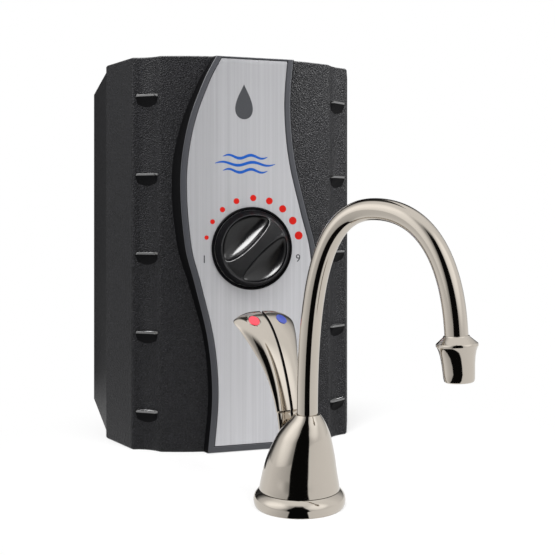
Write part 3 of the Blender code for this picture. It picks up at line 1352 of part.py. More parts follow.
def spout(frame):
    path, nozzle_top = spout_path()
    pipe = body("spout_tube", swept(path, SPOUT_RADIUS, SPOUT_SIDES), "polished_nickel", parent=frame)
    first = path[0] - Vector((0, 0, OVERRUN))
    last = path[-1] + (path[-1] - path[-2]).normalized() * OVERRUN
    bore = swept([first, path[0], *path[2:-1:2], path[-1], last], SPOUT_BORE, 8)
    combine(pipe, cutter("spout_bore", bore, parent=frame))
    turn = (math.pi, -SPOUT_END_LEAN, 0)
    side = [(NOZZLE_RADIUS * radius, NOZZLE_LENGTH * along) for along, radius in NOZZLE_SHARES]
    socket = SPOUT_RADIUS + GAP
    mouth = NOZZLE_LENGTH - NOZZLE_MOUTH_DEPTH
    profile = [
        *side, (NOZZLE_MOUTH, NOZZLE_LENGTH), (NOZZLE_MOUTH, mouth), (NOZZLE_THROAT, mouth),
        (NOZZLE_THROAT, NOZZLE_INSERT + GAP), (socket, NOZZLE_INSERT + GAP), (socket, 0),
    ]
    body("spout_nozzle", turned(profile, NOZZLE_SEGMENTS), "polished_nickel", nozzle_top, turn, frame)
    top = mouth + GAP
    disc = rod(NOZZLE_MOUTH - GAP, top, top + STRAIGHTENER_THICKNESS, 18)
    insert = body("flow_straightener", disc, "natural_nylon", nozzle_top, turn, frame)
    ways = [rod(STRAIGHTENER_HOLE, top - OVERRUN, top + STRAIGHTENER_THICKNESS + OVERRUN, 6)]
    for index in range(STRAIGHTENER_HOLES):
        angle = math.tau * index / STRAIGHTENER_HOLES
        hole = rod(STRAIGHTENER_HOLE, top - OVERRUN, top + STRAIGHTENER_THICKNESS + OVERRUN, 6)
        ways.append(moved(hole, STRAIGHTENER_RING * math.cos(angle), STRAIGHTENER_RING * math.sin(angle)))
    combine(insert, cutter("straightener_ways", together(ways), nozzle_top, turn, frame))


def spout_seats(frame):
    ring = tube(BUSHING_RADIUS, SPOUT_RADIUS + GAP, BUSHING_FOOT, BUSHING_TOP, SPOUT_SIDES)
    body("spout_bushing", ring, "natural_nylon", parent=frame)
    middle = (SPOUT_RADIUS + CUP_BORE) / 2
    level = (SPOUT_FOOT + BUSHING_FOOT) / 2
    wire = [
        (middle + SEAL_WIRE * math.cos(turn), level + SEAL_WIRE * math.sin(turn))
        for turn in [math.tau * step / 5 for step in range(5)]
    ]
    body("spout_seal", turned(wire, HIDDEN_SEGMENTS), "black_rubber", parent=frame)


def tap():
    frame = empty("tap_frame", (TAP_X, TAP_Y, 0), TAP_TURN)
    flange_and_gasket(frame)
    base_bell(frame)
    valve_body(frame)
    cartridges(frame)
    lever("hot_lever", -1, frame, "red_enamel")
    lever("cold_lever", 1, frame, "blue_enamel")
    swivel = empty("swivel_frame", (SPOUT_OFFSET, 0, 0), SPOUT_TURN - TAP_TURN, frame)
    spout_seats(swivel)
    spout(swivel)


def main():
    clear_scene()
    front_shell()
    rear_shell()
    case_screws()
    panel_frame()
    face_plate()
    dial_bezel()
    thermostat_knob()
    thermostat()
    thermal_cutout()
    terminal_block()
    water_tank()
    foam(1, "foam_right")
    foam(-1, "foam_left")
    heater()
    ports()
    drain()
    gland()
    tap()


main()
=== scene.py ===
"""Instant hot water dispenser: the looks of an under-sink tank unit and its two-lever tap.

The file is laid out as an add-on: settings, one operator for each piece or group of like pieces,
and one panel that lists them. Everything is in metres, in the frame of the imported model.
"""

import math

import bmesh
import bpy
from bpy.props import FloatProperty, FloatVectorProperty, IntProperty, PointerProperty
from mathutils import Euler, Matrix, Vector


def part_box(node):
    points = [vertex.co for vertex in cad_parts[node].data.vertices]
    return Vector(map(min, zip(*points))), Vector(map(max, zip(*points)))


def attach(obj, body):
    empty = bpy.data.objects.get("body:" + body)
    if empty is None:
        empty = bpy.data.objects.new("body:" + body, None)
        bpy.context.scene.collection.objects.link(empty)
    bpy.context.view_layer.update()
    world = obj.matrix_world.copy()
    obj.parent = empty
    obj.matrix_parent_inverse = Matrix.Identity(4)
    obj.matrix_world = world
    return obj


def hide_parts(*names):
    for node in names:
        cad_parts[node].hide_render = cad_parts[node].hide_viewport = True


bl_info = {
    "name": "Instant Hot Water Dispenser", "version": (1, 0, 0), "blender": (4, 5, 0),
    "location": "3D View > Sidebar > Dispenser",
    "description": "Builds the visible pieces and finishes of a hot water dispenser",
    "category": "Object",
}

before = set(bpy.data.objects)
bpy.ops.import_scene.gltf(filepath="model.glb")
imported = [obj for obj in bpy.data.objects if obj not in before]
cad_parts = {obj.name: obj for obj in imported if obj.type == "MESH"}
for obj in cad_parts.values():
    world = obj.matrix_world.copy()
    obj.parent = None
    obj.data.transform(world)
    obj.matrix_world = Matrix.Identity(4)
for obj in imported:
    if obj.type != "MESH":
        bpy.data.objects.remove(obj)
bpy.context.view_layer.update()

# Fits and smoothness that every piece shares
GAP = 0.0003
WELD = 0.000001
OVERRUN = 0.004
SHARP_ANGLE = math.radians(34)
EVEN_SHARP_ANGLE = math.radians(50)
SOFTENED_ANGLE = math.radians(35)
FLAT_ANGLE = math.radians(0.5)
ROUND_SEGMENTS = 96
ROD_SEGMENTS = 48
FACING = Euler((math.pi / 2, 0, 0))
STANDING = FACING.to_matrix().to_4x4()
UPRIGHT = Matrix.Identity(4)

# Tank case and its S-shaped panel
CASE_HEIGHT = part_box("front_shell")[1].z
BOW_HALF_WIDTH = 0.066
BOW_EDGE = -0.080
BOW_RISE = 0.012
LEDGE_TOP_SHARES = (0.103, 0.3033, 0.5036, 0.7039, 0.9042)
LEDGE_THICKNESS = 0.0016
LEDGE_GUSSET = 0.009
LEDGE_EDGE_ANGLE = math.radians(20)
UNDERSIDE_SLOPE = -0.1
LEDGE_INNER_X = 0.060
LEDGE_OUTER_X = 0.092
PANEL_LOW, PANEL_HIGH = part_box("panel_frame")
PANEL_WAIST = 0.0489
PANEL_CENTRE_Z = CASE_HEIGHT * 0.5137
PANEL_FLANK_SLOPE = 0.4
PANEL_FLANK_ROUNDS = 8
PANEL_ROWS = 90
RIM_SIDE = 0.0042
RIM_TOP = 0.0014
RIM_BOTTOM = 0.0045
SEAT_WIDTH = 0.003
PLATE_LOW, PLATE_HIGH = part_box("face_plate")
PLATE_FRONT = PLATE_LOW.y
PANEL_EDGE_SHARES = (
    (0.00, 0.585), (0.147, 0.52), (0.284, 0.587), (0.425, 0.785), (0.52, 0.93),
    (0.69, 1.0), (0.822, 0.89), (0.935, 0.65), (1.0, 0.45), (1.035, 0.34),
)

# Dial on the plate: printed dots, ring and knob
DIAL_CENTRE = Vector((0, PLATE_FRONT, PANEL_CENTRE_Z))
DIAL_PLACE = Matrix.LocRotScale(DIAL_CENTRE, FACING, None)
DOT_RING = 0.036
DOT_SHIFT = Vector((0.0012, 0, 0.0013))
DOTS = (
    (169.0, 0.0032), (149.2, 0.0036), (130.7, 0.0040), (111.1, 0.0044), (90.3, 0.0047),
    (70.2, 0.0052), (51.2, 0.0055), (32.2, 0.0059), (12.9, 0.0062),
)
DOT_SEGMENTS = 24
MARK_SEGMENTS = 64
NUMBERS = (("1", 192.5), ("9", -12.5))
NUMBER_RING = DOT_RING * 1.02
FIGURE_SIZE_SHARE = 1.4
DROP_X = -0.0060
DROP_HEIGHT_SHARE = 0.885
DROP_HEIGHT = 0.026
DROP_WIDTH = 0.01875
DROP_POINT_POWER = 1.4
WAVES_X = -0.0050
WAVES_HEIGHT_SHARE = 0.728
WAVE_LENGTHS = (0.034, 0.046, 0.034)
WAVE_PITCH = 0.0052
WAVE_SWING = 0.0012
WAVE_THICKNESS = 0.0022
WAVE_COUNT = 2.0
WAVE_LEAST_TAPER = 0.02
PRINT_DEPTH = 0.00006
BEZEL_RADIUS = 0.0307
BEZEL_WIDTH = 0.0022
BEZEL_HEIGHT = 0.0022
BEZEL_ROUND = 0.0007
KNOB_RADIUS = 0.0282
KNOB_HEIGHT = 0.0156
KNOB_FOOT = 0.0006
KNOB_TURN = Euler((math.pi / 2, math.radians(-45), 0))
KNOB_PROFILE_SHARES = (
    (0.0, 1.0), (0.35, 0.985), (0.62, 0.93), (0.78, 0.845), (0.855, 0.735), (0.885, 0.59),
    (0.955, 0.30), (1.0, 0.21), (1.0, 0.06), (0.96, 0.0),
)
KNOB_SHOULDER = 0.0252
SCOOP_RADIUS = 0.0244
SCOOP_CENTRE = 0.0130
SCOOP_FLOOR = 0.0052
SCOOP_FULL = 0.0116
SCOOP_POINTS = 120
SCOOP_EXIT_FLARES = (1.6, 1.4)
RIM_STEPS = 5
RIM_TURN = math.radians(75)
BOWL_TURN = math.radians(85)
SCOOP_CORNER_POWER = 7.0
SCOOP_DEPTH_STEPS = 16
GRIP_HALF_WIDTH = 0.0042
GRIP_FLARE_POINTER = 0.0025
GRIP_FLARE_TAIL = 0.0045
GRIP_TOP_SLOPE = 0.6
SOCKET_RADIUS = 0.0036
SOCKET_DEPTH = 0.0090
SOCKET_SEGMENTS = 32

# Tap: its place, base, spout and levers
FOOT_LOW, FOOT_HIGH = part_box("base_flange")
TAP_CENTRE = (FOOT_LOW + FOOT_HIGH) / 2
TAP_TURN = math.radians(-76.1)
SPOUT_TURN = math.radians(-56.2)
SPOUT_OFFSET = 0.009
TAP_PLACE = Matrix.Translation((TAP_CENTRE.x, TAP_CENTRE.y, 0)) @ Matrix.Rotation(TAP_TURN, 4, "Z")
SWIVEL_PLACE = (
    TAP_PLACE
    @ Matrix.Translation((SPOUT_OFFSET, 0, 0))
    @ Matrix.Rotation(SPOUT_TURN - TAP_TURN, 4, "Z")
)
FLANGE_RADIUS = 0.0277
FLANGE_HEIGHT = 0.0097
FLANGE_BORE = 0.0175
FLANGE_TOP_BORE = 0.0205
FLANGE_STEP = 0.0022
FLANGE_RECESS = 0.0019
FLANGE_ROUND = 0.0003
FLANGE_STEPS = 20
GASKET_RADIUS = 0.0240
FLANGE_SHARES = (
    (0.0, 0.965), (0.14, 0.988), (0.38, 1.0), (0.62, 0.985), (0.80, 0.945), (0.93, 0.90),
    (1.0, 0.87),
)
BELL_FOOT = 0.0100
BELL_TOP = 0.056
BELL_WALL = 0.0016
BELL_RADIUS = 0.0242
BELL_CROWN = 0.050
BELL_STEPS = 48
BELL_SHARES = (
    (0.0, 1.0, 0.0), (0.04, 0.992, 0.0), (0.24, 0.920, 0.05), (0.40, 0.856, 0.17),
    (0.52, 0.790, 0.30), (0.64, 0.713, 0.45), (0.74, 0.640, 0.58), (0.83, 0.545, 0.73),
    (0.91, 0.445, 0.88), (0.97, 0.358, 0.97), (1.0, 0.318, 1.0),
)
SLOT_HALF_WIDTH = 0.0094
SLOT_FLOOR = 0.0355
SLOT_FRONT = -0.0036
SPOUT_RADIUS = 0.0062
SPOUT_WALL = 0.0012
SPOUT_FOOT = 0.0372
SPOUT_RISE_START = 0.056
SPOUT_RISE_PULL = 0.0861
SPOUT_TOP = 0.1770
SPOUT_APEX_REACH = 0.0468
SPOUT_APEX_PULL_IN = 0.0320
SPOUT_APEX_PULL_OUT = 0.0350
SPOUT_REACH = 0.0982
SPOUT_END = 0.1139
SPOUT_END_PULL = 0.0341
SPOUT_END_LEAN = math.radians(4)
SPOUT_STRAIGHT_STEPS = 6
SPOUT_BEND_STEPS = 72
NOZZLE_SETBACK = 0.0030
NOZZLE_INSERT = 0.0085
NOZZLE_LENGTH = 0.0240
NOZZLE_RADIUS = 0.0110
NOZZLE_MOUTH = 0.0064
NOZZLE_THROAT = 0.0052
NOZZLE_SHARP_ANGLE = math.radians(28)
NOZZLE_MOUTH_DEPTH = 0.0110
NOZZLE_SHARES = (
    (0.0, 0.615), (0.03, 0.645), (0.165, 0.985), (0.185, 1.0), (0.225, 0.995), (0.24, 0.965),
    (0.33, 0.885), (0.45, 0.825), (0.62, 0.780), (0.80, 0.755), (0.93, 0.735), (0.98, 0.700),
    (1.0, 0.650),
)
PIVOT_X = -0.0041
PIVOT_Z = 0.0300
PIN_RADIUS = 0.0015
HUB_RADIUS = 0.0036
HEEL_DROP = 0.0050
HEEL_REACH = 0.0080
LEVER_PLACE = TAP_PLACE @ Matrix.Translation((PIVOT_X, 0, PIVOT_Z))
LEVER_SPLIT = 0.0008
LEVER_PULLS = (
    Vector((0, 0, 0)), Vector((-0.0020, 0, 0.0256)), Vector((-0.0177, 0, 0.0750)),
    Vector((-0.0439, 0, 0.0819)),
)
LEVER_HALF_WIDTH = 0.0213
LEVER_CROWN = 0.0042
LEVER_CROWN_POWER = 3.4
LEVER_THICKNESS = 0.0052
LEVER_STEP = 0.0007
LEVER_SIDE_SLOPE = -0.45
LEVER_EDGE_SHARE = 0.55
LEVER_FRONT_EDGE_SHARE = 0.19
LEVER_EDGE_POWER = 4
LEVER_SPINE_STEP_SHARE = 0.01
LEVER_ROWS = 90
LEVER_COLUMNS = 16
LEVER_INSET_END_SHARE = 0.265
LEVER_FACE_START_SHARE = 0.275
LEVER_FACE_SHARES = (
    (0.275, 0.455, 1.0, 0.10), (0.36, 0.475, 0.96, 0.22), (0.46, 0.53, 0.88, 0.42),
    (0.56, 0.62, 0.78, 0.68), (0.66, 0.745, 0.68, 0.90), (0.76, 0.865, 0.58, 1.0),
    (0.85, 0.95, 0.50, 1.0), (0.92, 0.99, 0.45, 1.0), (0.965, 0.965, 0.42, 0.95),
    (0.988, 0.88, 0.38, 0.85), (1.0, 0.74, 0.30, 0.65),
)
LEVER_FOOT_SHARES = (
    (0.0, 0.41, 0.95, 0.05), (0.16, 0.415, 1.0, 0.06), (0.265, 0.42, 1.0, 0.07),
    (0.275, 0.455, 1.0, 0.10),
)
MARKER_SHARE = 0.872
MARKER_Y = 0.0100
MARKER_LONG = 0.0042
MARKER_SHORT = 0.0035
MARKER_THICKNESS = 0.0008

# Studio: lamps, camera, floor, and the cloth dome and table that polished metal reflects.
# The cloth's stops and glows are at bearings from the camera, in degrees.
CASE_PIECES = ("case_front", "case_rear", "panel_rim")
DIAL_PIECES = ("dial_ring", "dial_knob")
TANK_LAMPS = (
    ("case_lamp", (-0.80, -0.42, 1.02), (0, -0.05, 0.16), (0.9, 0.5), 0.40, CASE_PIECES),
    ("right_case_lamp", (0.85, -0.55, 0.75), (0, -0.05, 0.16), (0.6, 0.4), 0.75, CASE_PIECES),
    ("top_case_lamp", (-0.10, 0.30, 1.20), (0, 0, 0.16), (1.6, 0.5), 1.0, CASE_PIECES),
    ("dial_lamp", (-0.57, -0.69, 1.03), (0, -0.09, 0.16), (1.0, 0.6), 2.2, DIAL_PIECES),
    ("right_dial_lamp", (0.84, -0.46, 0.70), (0, -0.09, 0.16), (0.5, 0.5), 0.12, DIAL_PIECES),
)
STUDIO_LAMPS = (
    ("key_lamp", (-0.35, -0.65, 1.15), (0, -0.10, 0.10), (0.35, 0.35), 1.0),
    ("side_lamp", (0.37, -0.81, 0.99), (0, -0.15, 0.10), (0.5, 0.5), 0.8),
    ("low_lamp", (-0.90, -0.50, 0.05), (-0.05, 0.0, 0.0), (0.9, 0.1), 0.3),
)
CAMERA_PLACE = (-0.1593, -0.715, 0.171)
CAMERA_TURN = math.radians(-16.1)
CAMERA_LENS = 56.04
CAMERA_SHIFT = -57.5 / 555
FLOOR_REACH = 6
FLOOR_CLEAN_CENTRE = (0.02, -0.12, 0)
FLOOR_CLEAN_REACH = (0.10, 0.24)
TENT_RADIUS = 2.0
TENT_SEGMENTS = 64
TENT_TURN = math.radians(17.6)
TENT_STOPS = (
    (-180, 0.04), (-152, 0.04), (-138, 0.12), (-120, 0.62), (-100, 0.85), (-60, 0.52), (-31, 0.32),
    (-29, 0.004), (23, 0.004), (25, 0.62), (70, 0.80), (103, 0.92), (135, 0.70), (157, 0.08),
    (180, 0.05),
)
TABLE_STOPS = (
    (-180, 0.85), (-100, 0.85), (-31, 0.50), (-29, 0.004), (23, 0.004), (25, 0.80), (100, 0.90),
    (180, 0.85),
)
TENT_TOP_GREY = 0.95
TENT_TOP_START = (0.70, 0.90)
TENT_MIDDLE_REACH = (0.03, 0.09)
TENT_BEHIND = (math.radians(-122), math.radians(-140))
TENT_DISTANT = (0.20, 0.50)
TENT_NARROWING = 1.7
TENT_STEADY = math.radians(100)
TENT_GLOWS = ((-66, 26, 40, 0.55), (48, 30, 34, 0.45))


def linear_colour(code):
    """An sRGB hex colour as linear red, green and blue."""
    channels = [value / 255 for value in bytes.fromhex(code)]
    return tuple(c / 12.92 if c <= 0.04045 else ((c + 0.055) / 1.055) ** 2.4 for c in channels)


def opaque(colour):
    """A colour with full alpha."""
    return (*colour[:3], 1.0)


def colour_setting(name, description, code):
    """A colour for the sidebar, given as an sRGB hex code."""
    return FloatVectorProperty(
        name=name, description=description, subtype="COLOR", size=3, min=0, max=1,
        default=linear_colour(code),
    )


def length_setting(name, description, least, most, default):
    """A small length for the sidebar."""
    return FloatProperty(
        name=name, description=description, unit="LENGTH", precision=4, min=least, max=most,
        default=default,
    )


class CaseSettings(bpy.types.PropertyGroup):
    """The moulded case."""

    colour: colour_setting("Case colour", "Colour of the textured mouldings", "141416")
    grain: length_setting(
        "Grain size", "Width of one pebble of the moulded texture", 0.0002, 0.005, 0.0009
    )
    ledge_round: length_setting(
        "Ledge rounding", "Radius along the edges of the small ledges", 0.0001, 0.00075, 0.0007
    )


class PanelSettings(bpy.types.PropertyGroup):
    """The S-shaped panel and what is printed on it."""

    frame_colour: colour_setting("Frame colour", "Colour of the frame round the plate", "2c2d31")
    plate_colour: colour_setting("Plate colour", "Colour of the brushed metal plate", "b6b6b9")
    streak_width: length_setting(
        "Brush streak width", "Width of one streak of the brushed finish", 0.0001, 0.003, 0.0003
    )
    edge_round: length_setting(
        "Frame rounding", "Radius along the front edges of the frame", 0.0001, 0.002, 0.0011
    )
    dot_colour: colour_setting("Dot colour", "Colour of the printed heat dots", "b0140a")
    mark_colour: colour_setting("Mark colour", "Colour of the printed blue waves", "124a98")
    number_height: length_setting(
        "Number height", "Height of the numbers at the ends of the scale", 0.002, 0.012, 0.0058
    )


class DialSettings(bpy.types.PropertyGroup):
    """The knob and its ring."""

    colour: colour_setting("Knob colour", "Colour of the glossy knob", "030304")
    grip_colour: colour_setting("Grip colour", "Colour of the textured top of the grip", "0c0c0d")
    rim_round: length_setting(
        "Scoop rounding", "Radius along the rims of the finger scoops", 0.0001, 0.0015, 0.0011
    )


class TapSettings(bpy.types.PropertyGroup):
    """The polished tap."""

    nickel_colour: colour_setting(
        "Nickel colour", "Colour of the polished nickel plating", "cbc3b8"
    )
    petal_round: length_setting(
        "Petal rounding", "Radius along the edges of the two levers", 0.0001, 0.001, 0.0006
    )
    segments: IntProperty(
        name="Round segments", description="Number of flats round each turned piece",
        min=24, max=192, default=ROUND_SEGMENTS,
    )


class StageSettings(bpy.types.PropertyGroup):
    """Floor, lamps and background."""

    floor_colour: colour_setting("Floor colour", "Colour of the plain floor", "fafafa")
    fill: FloatProperty(
        name="Fill light", description="Strength of the even light from all round",
        min=0, max=3, default=0.55,
    )
    tank_lamps: FloatProperty(
        name="Tank lamps", description="Power in watts of the softboxes that light the tank only",
        min=0, max=200, default=20.0,
    )
    key: FloatProperty(
        name="Key lamp", description="Power of the main soft lamp, the others in step",
        subtype="POWER", min=0, max=500, default=9,
    )


def set_input(tree, socket, source):
    """Links an input to a socket or to a node's first output, or sets its value."""
    if isinstance(source, bpy.types.Node):
        source = source.outputs[0]
    if isinstance(source, bpy.types.NodeSocket):
        tree.links.new(source, socket)
    else:
        socket.default_value = source


def add_node(tree, kind, inputs=None, **settings):
    """A shader node with its settings, and with each of its inputs either linked or set."""
    made = tree.nodes.new(f"ShaderNode{kind}")
    for name, value in settings.items():
        setattr(made, name, value)
    for name, source in (inputs or {}).items():
        set_input(tree, made.inputs[name], source)
    return made


def new_material(name):
    """An empty node material with its shader and its object coordinates."""
    made = bpy.data.materials.new(name)
    made.use_nodes = True
    tree = made.node_tree
    shader = tree.nodes["Principled BSDF"]
    where = add_node(tree, "TexCoord").outputs["Object"]
    return made, tree, shader, where


def set_shader(tree, shader, **values):
    """Sets or links the shader's inputs, named in lower case."""
    for name, value in values.items():
        socket = shader.inputs[name.replace("_", " ").title().replace("Ior", "IOR")]
        set_input(tree, socket, value)


def blend_colours(tree, share, first, second):
    """A colour between two, by a share from a texture."""
    mix = add_node(tree, "Mix", {0: share, 6: opaque(first), 7: opaque(second)}, data_type="RGBA")
    return mix.outputs[2]


def scaled(colour, factor):
    """A colour made darker or lighter."""
    return tuple(min(channel * factor, 1.0) for channel in colour[:3])


def mottled(tree, where, scale, detail, colour, dark, light):
    """A colour that varies between two factors with fine noise, and the noise itself."""
    noise = add_node(tree, "TexNoise", {"Vector": where, "Scale": scale, "Detail": detail})
    return blend_colours(tree, noise, scaled(colour, dark), scaled(colour, light)), noise


def textured_abs(name, colour, grain, roughness=0.42):
    """ABS moulded in an etched tool: dull black, its pebbled skin sparkling where it turns."""
    made, tree, shader, where = new_material(name)
    pebbles = add_node(
        tree, "TexVoronoi",
        {"Vector": where, "Scale": 1 / grain, "Smoothness": 0.55, "Randomness": 1.0},
        feature="SMOOTH_F1",
    )
    mottle = add_node(
        tree, "TexNoise", {"Vector": where, "Scale": 0.9 / grain, "Detail": 3.0, "Roughness": 0.7}
    )
    spread = add_node(tree, "MapRange", {"Value": mottle, "From Min": 0.36, "From Max": 0.66})
    tint = blend_colours(tree, spread, scaled(colour, 0.2), scaled(colour, 1.9))
    sheen = add_node(
        tree, "MapRange", {"Value": mottle, "To Min": roughness + 0.12, "To Max": roughness - 0.16}
    )
    bump = add_node(tree, "Bump", {"Height": pebbles, "Strength": 1.0, "Distance": grain * 0.62})
    set_shader(tree, shader, base_color=tint, roughness=sheen, normal=bump, specular_ior_level=0.18)
    return made


def smooth_abs(name, colour, roughness, shine=0.5, ior=1.5):
    """ABS moulded in a polished tool: even and satin, with slight flow marks in its gloss."""
    made, tree, shader, where = new_material(name)
    flow = add_node(tree, "TexNoise", {"Vector": where, "Scale": 140.0, "Detail": 4.0})
    tint, fine = mottled(tree, where, 2400.0, 2.0, colour, 0.9, 1.1)
    gloss = add_node(
        tree, "MapRange", {"Value": flow, "To Min": roughness * 0.8, "To Max": roughness * 1.25}
    )
    bump = add_node(tree, "Bump", {"Height": fine, "Strength": 0.08, "Distance": 0.00005})
    set_shader(
        tree, shader, base_color=tint, roughness=gloss, normal=bump, ior=ior,
        specular_ior_level=shine,
    )
    return made


def brushed_metal(name, colour, streak_width, roughness=0.42, sheet_share=1.0):
    """Aluminium sheet brushed in one direction: fine upright streaks, light and dark by turns."""
    made, tree, shader, where = new_material(name)
    # Real brush lines are about a tenth of a millimetre wide, drawn coarser so that they show.
    streak = add_node(
        tree, "Mapping", {"Vector": where, "Scale": (1 / streak_width, 1 / streak_width, 14.0)}
    )
    lines = add_node(
        tree, "TexNoise", {"Vector": streak, "Scale": 1.0, "Detail": 5.0, "Roughness": 0.75}
    )
    broad = add_node(
        tree, "Mapping", {"Vector": where, "Scale": (0.14 / streak_width, 0.14 / streak_width, 3.0)}
    )
    bands = add_node(tree, "TexNoise", {"Vector": broad, "Scale": 1.0, "Detail": 2.0})
    both = add_node(tree, "Math", {0: lines, 1: bands}, operation="ADD")
    share = add_node(tree, "MapRange", {"Value": both, "From Min": 0.70, "From Max": 1.30})
    tint = blend_colours(tree, share, scaled(colour, 0.90), scaled(colour, 1.08))
    # Painted shade: the colour is scaled from 1.10 near the bottom to 0.80 near the top, so the
    # sheet reads darker toward its top
    level = add_node(tree, "SeparateXYZ", {0: where})
    rise = add_node(
        tree, "MapRange",
        {
            "Value": level.outputs["Z"], "From Min": 0.04, "From Max": 0.28, "To Min": 1.10,
            "To Max": 0.80,
        },
    )
    tint = add_node(tree, "VectorMath", {0: tint, 3: rise}, operation="SCALE")
    gloss = add_node(
        tree, "MapRange", {"Value": lines, "To Min": roughness - 0.05, "To Max": roughness + 0.07}
    )
    bump = add_node(tree, "Bump", {"Height": lines, "Strength": 0.12, "Distance": 0.00008})
    set_shader(tree, shader, base_color=tint, roughness=gloss, metallic=sheet_share, normal=bump)
    return made


def plated_metal(name, colour, roughness):
    """Polished plating: a clear warm mirror with the faintest haze where it has been wiped."""
    made, tree, shader, where = new_material(name)
    tint, haze = mottled(tree, where, 60.0, 5.0, colour, 0.96, 1.04)
    gloss = add_node(
        tree, "MapRange", {"Value": haze, "To Min": roughness * 0.7, "To Max": roughness * 1.4}
    )
    set_shader(tree, shader, base_color=tint, roughness=gloss, metallic=1.0)
    return made


def polished_nickel(settings):
    """The tap's warm plating, made once and shared by its pieces."""
    name = "polished_nickel_plate"
    return bpy.data.materials.get(name) or plated_metal(name, settings.nickel_colour, 0.07)


def turned_metal(name, colour, roughness, line_width=0.0003):
    """Bar or drawn metal left as machined: soft gloss broken by fine rings and stains."""
    made, tree, shader, where = new_material(name)
    rings = add_node(tree, "Mapping", {"Vector": where, "Scale": (40.0, 40.0, 1 / line_width)})
    lines = add_node(tree, "TexNoise", {"Vector": rings, "Scale": 1.0, "Detail": 3.0})
    tint, _ = mottled(tree, where, 180.0, 4.0, colour, 0.82, 1.12)
    gloss = add_node(
        tree, "MapRange", {"Value": lines, "To Min": roughness - 0.1, "To Max": roughness + 0.12}
    )
    bump = add_node(tree, "Bump", {"Height": lines, "Strength": 0.15, "Distance": 0.00006})
    set_shader(tree, shader, base_color=tint, roughness=gloss, metallic=1.0, normal=bump)
    return made


def soft_polymer(name, colour, roughness, cell, depth):
    """Foam, nylon or rubber: matt, with its cells or its moulded bloom in the surface."""
    made, tree, shader, where = new_material(name)
    cells = add_node(
        tree, "TexVoronoi",
        {"Vector": where, "Scale": 1 / cell, "Smoothness": 0.6},
        feature="SMOOTH_F1",
    )
    tint, _ = mottled(tree, where, 90.0, 3.0, colour, 0.88, 1.10)
    bump = add_node(tree, "Bump", {"Height": cells, "Strength": 0.4, "Distance": depth})
    set_shader(tree, shader, base_color=tint, roughness=roughness, normal=bump)
    return made


def pad_ink(name, colour):
    """Pad-printed ink: flat colour, slightly uneven where it covers the brushing."""
    made, tree, shader, where = new_material(name)
    tint, _ = mottled(tree, where, 1800.0, 3.0, colour, 0.90, 1.10)
    set_shader(tree, shader, base_color=tint, roughness=0.55, specular_ior_level=0.15)
    return made


def glass_enamel(name, colour):
    """Enamel fill: a deep colour under a clear glossy skin."""
    made, tree, shader, where = new_material(name)
    tint, _ = mottled(tree, where, 700.0, 2.0, colour, 0.86, 1.12)
    set_shader(tree, shader, base_color=tint, roughness=0.30, coat_weight=0.6, coat_roughness=0.08)
    return made


def smooth_share(shares, at, column=1):
    """The value at a place in a table of rows that start with their place, on a smooth curve."""
    index = 0
    while index < len(shares) - 2 and shares[index + 1][0] < at:
        index += 1
    rows = (
        shares[max(index - 1, 0)], *shares[index:index + 2], shares[min(index + 2, len(shares) - 1)]
    )
    places = [row[0] for row in rows]
    values = [row[column] for row in rows]
    span = places[2] - places[1]
    leave = (values[2] - values[0]) / (places[2] - places[0]) * span
    reach = (values[3] - values[1]) / (places[3] - places[1]) * span
    t = (at - places[1]) / span
    return (
        (2 * t**3 - 3 * t**2 + 1) * values[1]
        + (t**3 - 2 * t**2 + t) * leave
        + (3 * t**2 - 2 * t**3) * values[2]
        + (t**3 - t**2) * reach
    )


def new_grid(columns, rows, size=1):
    """A flat grid with so many cells each way."""
    shape = bmesh.new()
    bmesh.ops.create_grid(shape, x_segments=columns, y_segments=rows, size=size)
    return shape


def new_disc(segments, radius=1):
    """A flat disc with one face."""
    shape = bmesh.new()
    bmesh.ops.create_circle(shape, cap_ends=True, segments=segments, radius=radius)
    return shape


def outward(shape):
    """The shape with every normal facing out."""
    bmesh.ops.recalc_face_normals(shape, faces=shape.faces)
    return shape


def placed(shape, matrix):
    """The shape moved and turned by a matrix."""
    bmesh.ops.transform(shape, matrix=matrix, verts=shape.verts)
    return shape


def spun(profile, segments):
    """A profile of (radius, height) points turned about Z, open at the axis or closed round it."""
    shape = bmesh.new()
    points = [shape.verts.new((radius, 0, height)) for radius, height in profile]
    runs = list(zip(points, points[1:]))
    if profile[0][0] > 0:
        runs.append((points[-1], points[0]))
    edges = [shape.edges.new(run) for run in runs]
    bmesh.ops.spin(
        shape, geom=points + edges, cent=(0, 0, 0), axis=(0, 0, 1), angle=math.tau, steps=segments,
        use_merge=True,
    )
    bmesh.ops.remove_doubles(shape, verts=shape.verts, dist=WELD)
    return outward(shape)


def rod_profile(radius, low, high):
    """The profile of a solid rod between two heights."""
    return [(0, low), (radius, low), (radius, high), (0, high)]


def soften(shape, width, segments=3, edges=None):
    """Rounds the shape's sharp edges, or the given ones."""
    if edges is None:
        edges = [e for e in shape.edges if e.is_manifold and e.calc_face_angle() > SOFTENED_ANGLE]
    bmesh.ops.bevel(
        shape, geom=edges, offset=width, segments=segments, profile=0.5, affect="EDGES",
        material=-1, clamp_overlap=True,
    )
    return shape


def moved(shape, x=0.0, y=0.0, z=0.0):
    """The shape moved along the axes."""
    bmesh.ops.translate(shape, verts=shape.verts, vec=Vector((x, y, z)))
    return shape


def thickened(shape, depth):
    """A flat sheet made solid, its second side moved by a vector."""
    grown = bmesh.ops.extrude_face_region(shape, geom=shape.faces[:])
    second = [item for item in grown["geom"] if isinstance(item, bmesh.types.BMVert)]
    bmesh.ops.translate(shape, verts=second, vec=depth)
    outward(shape)
    return second


def new_object(name, shape):
    """An object made of the shape, at the origin."""
    mesh = bpy.data.meshes.new(name)
    shape.to_mesh(mesh)
    shape.free()
    made = bpy.data.objects.new(name, mesh)
    bpy.context.scene.collection.objects.link(made)
    return made


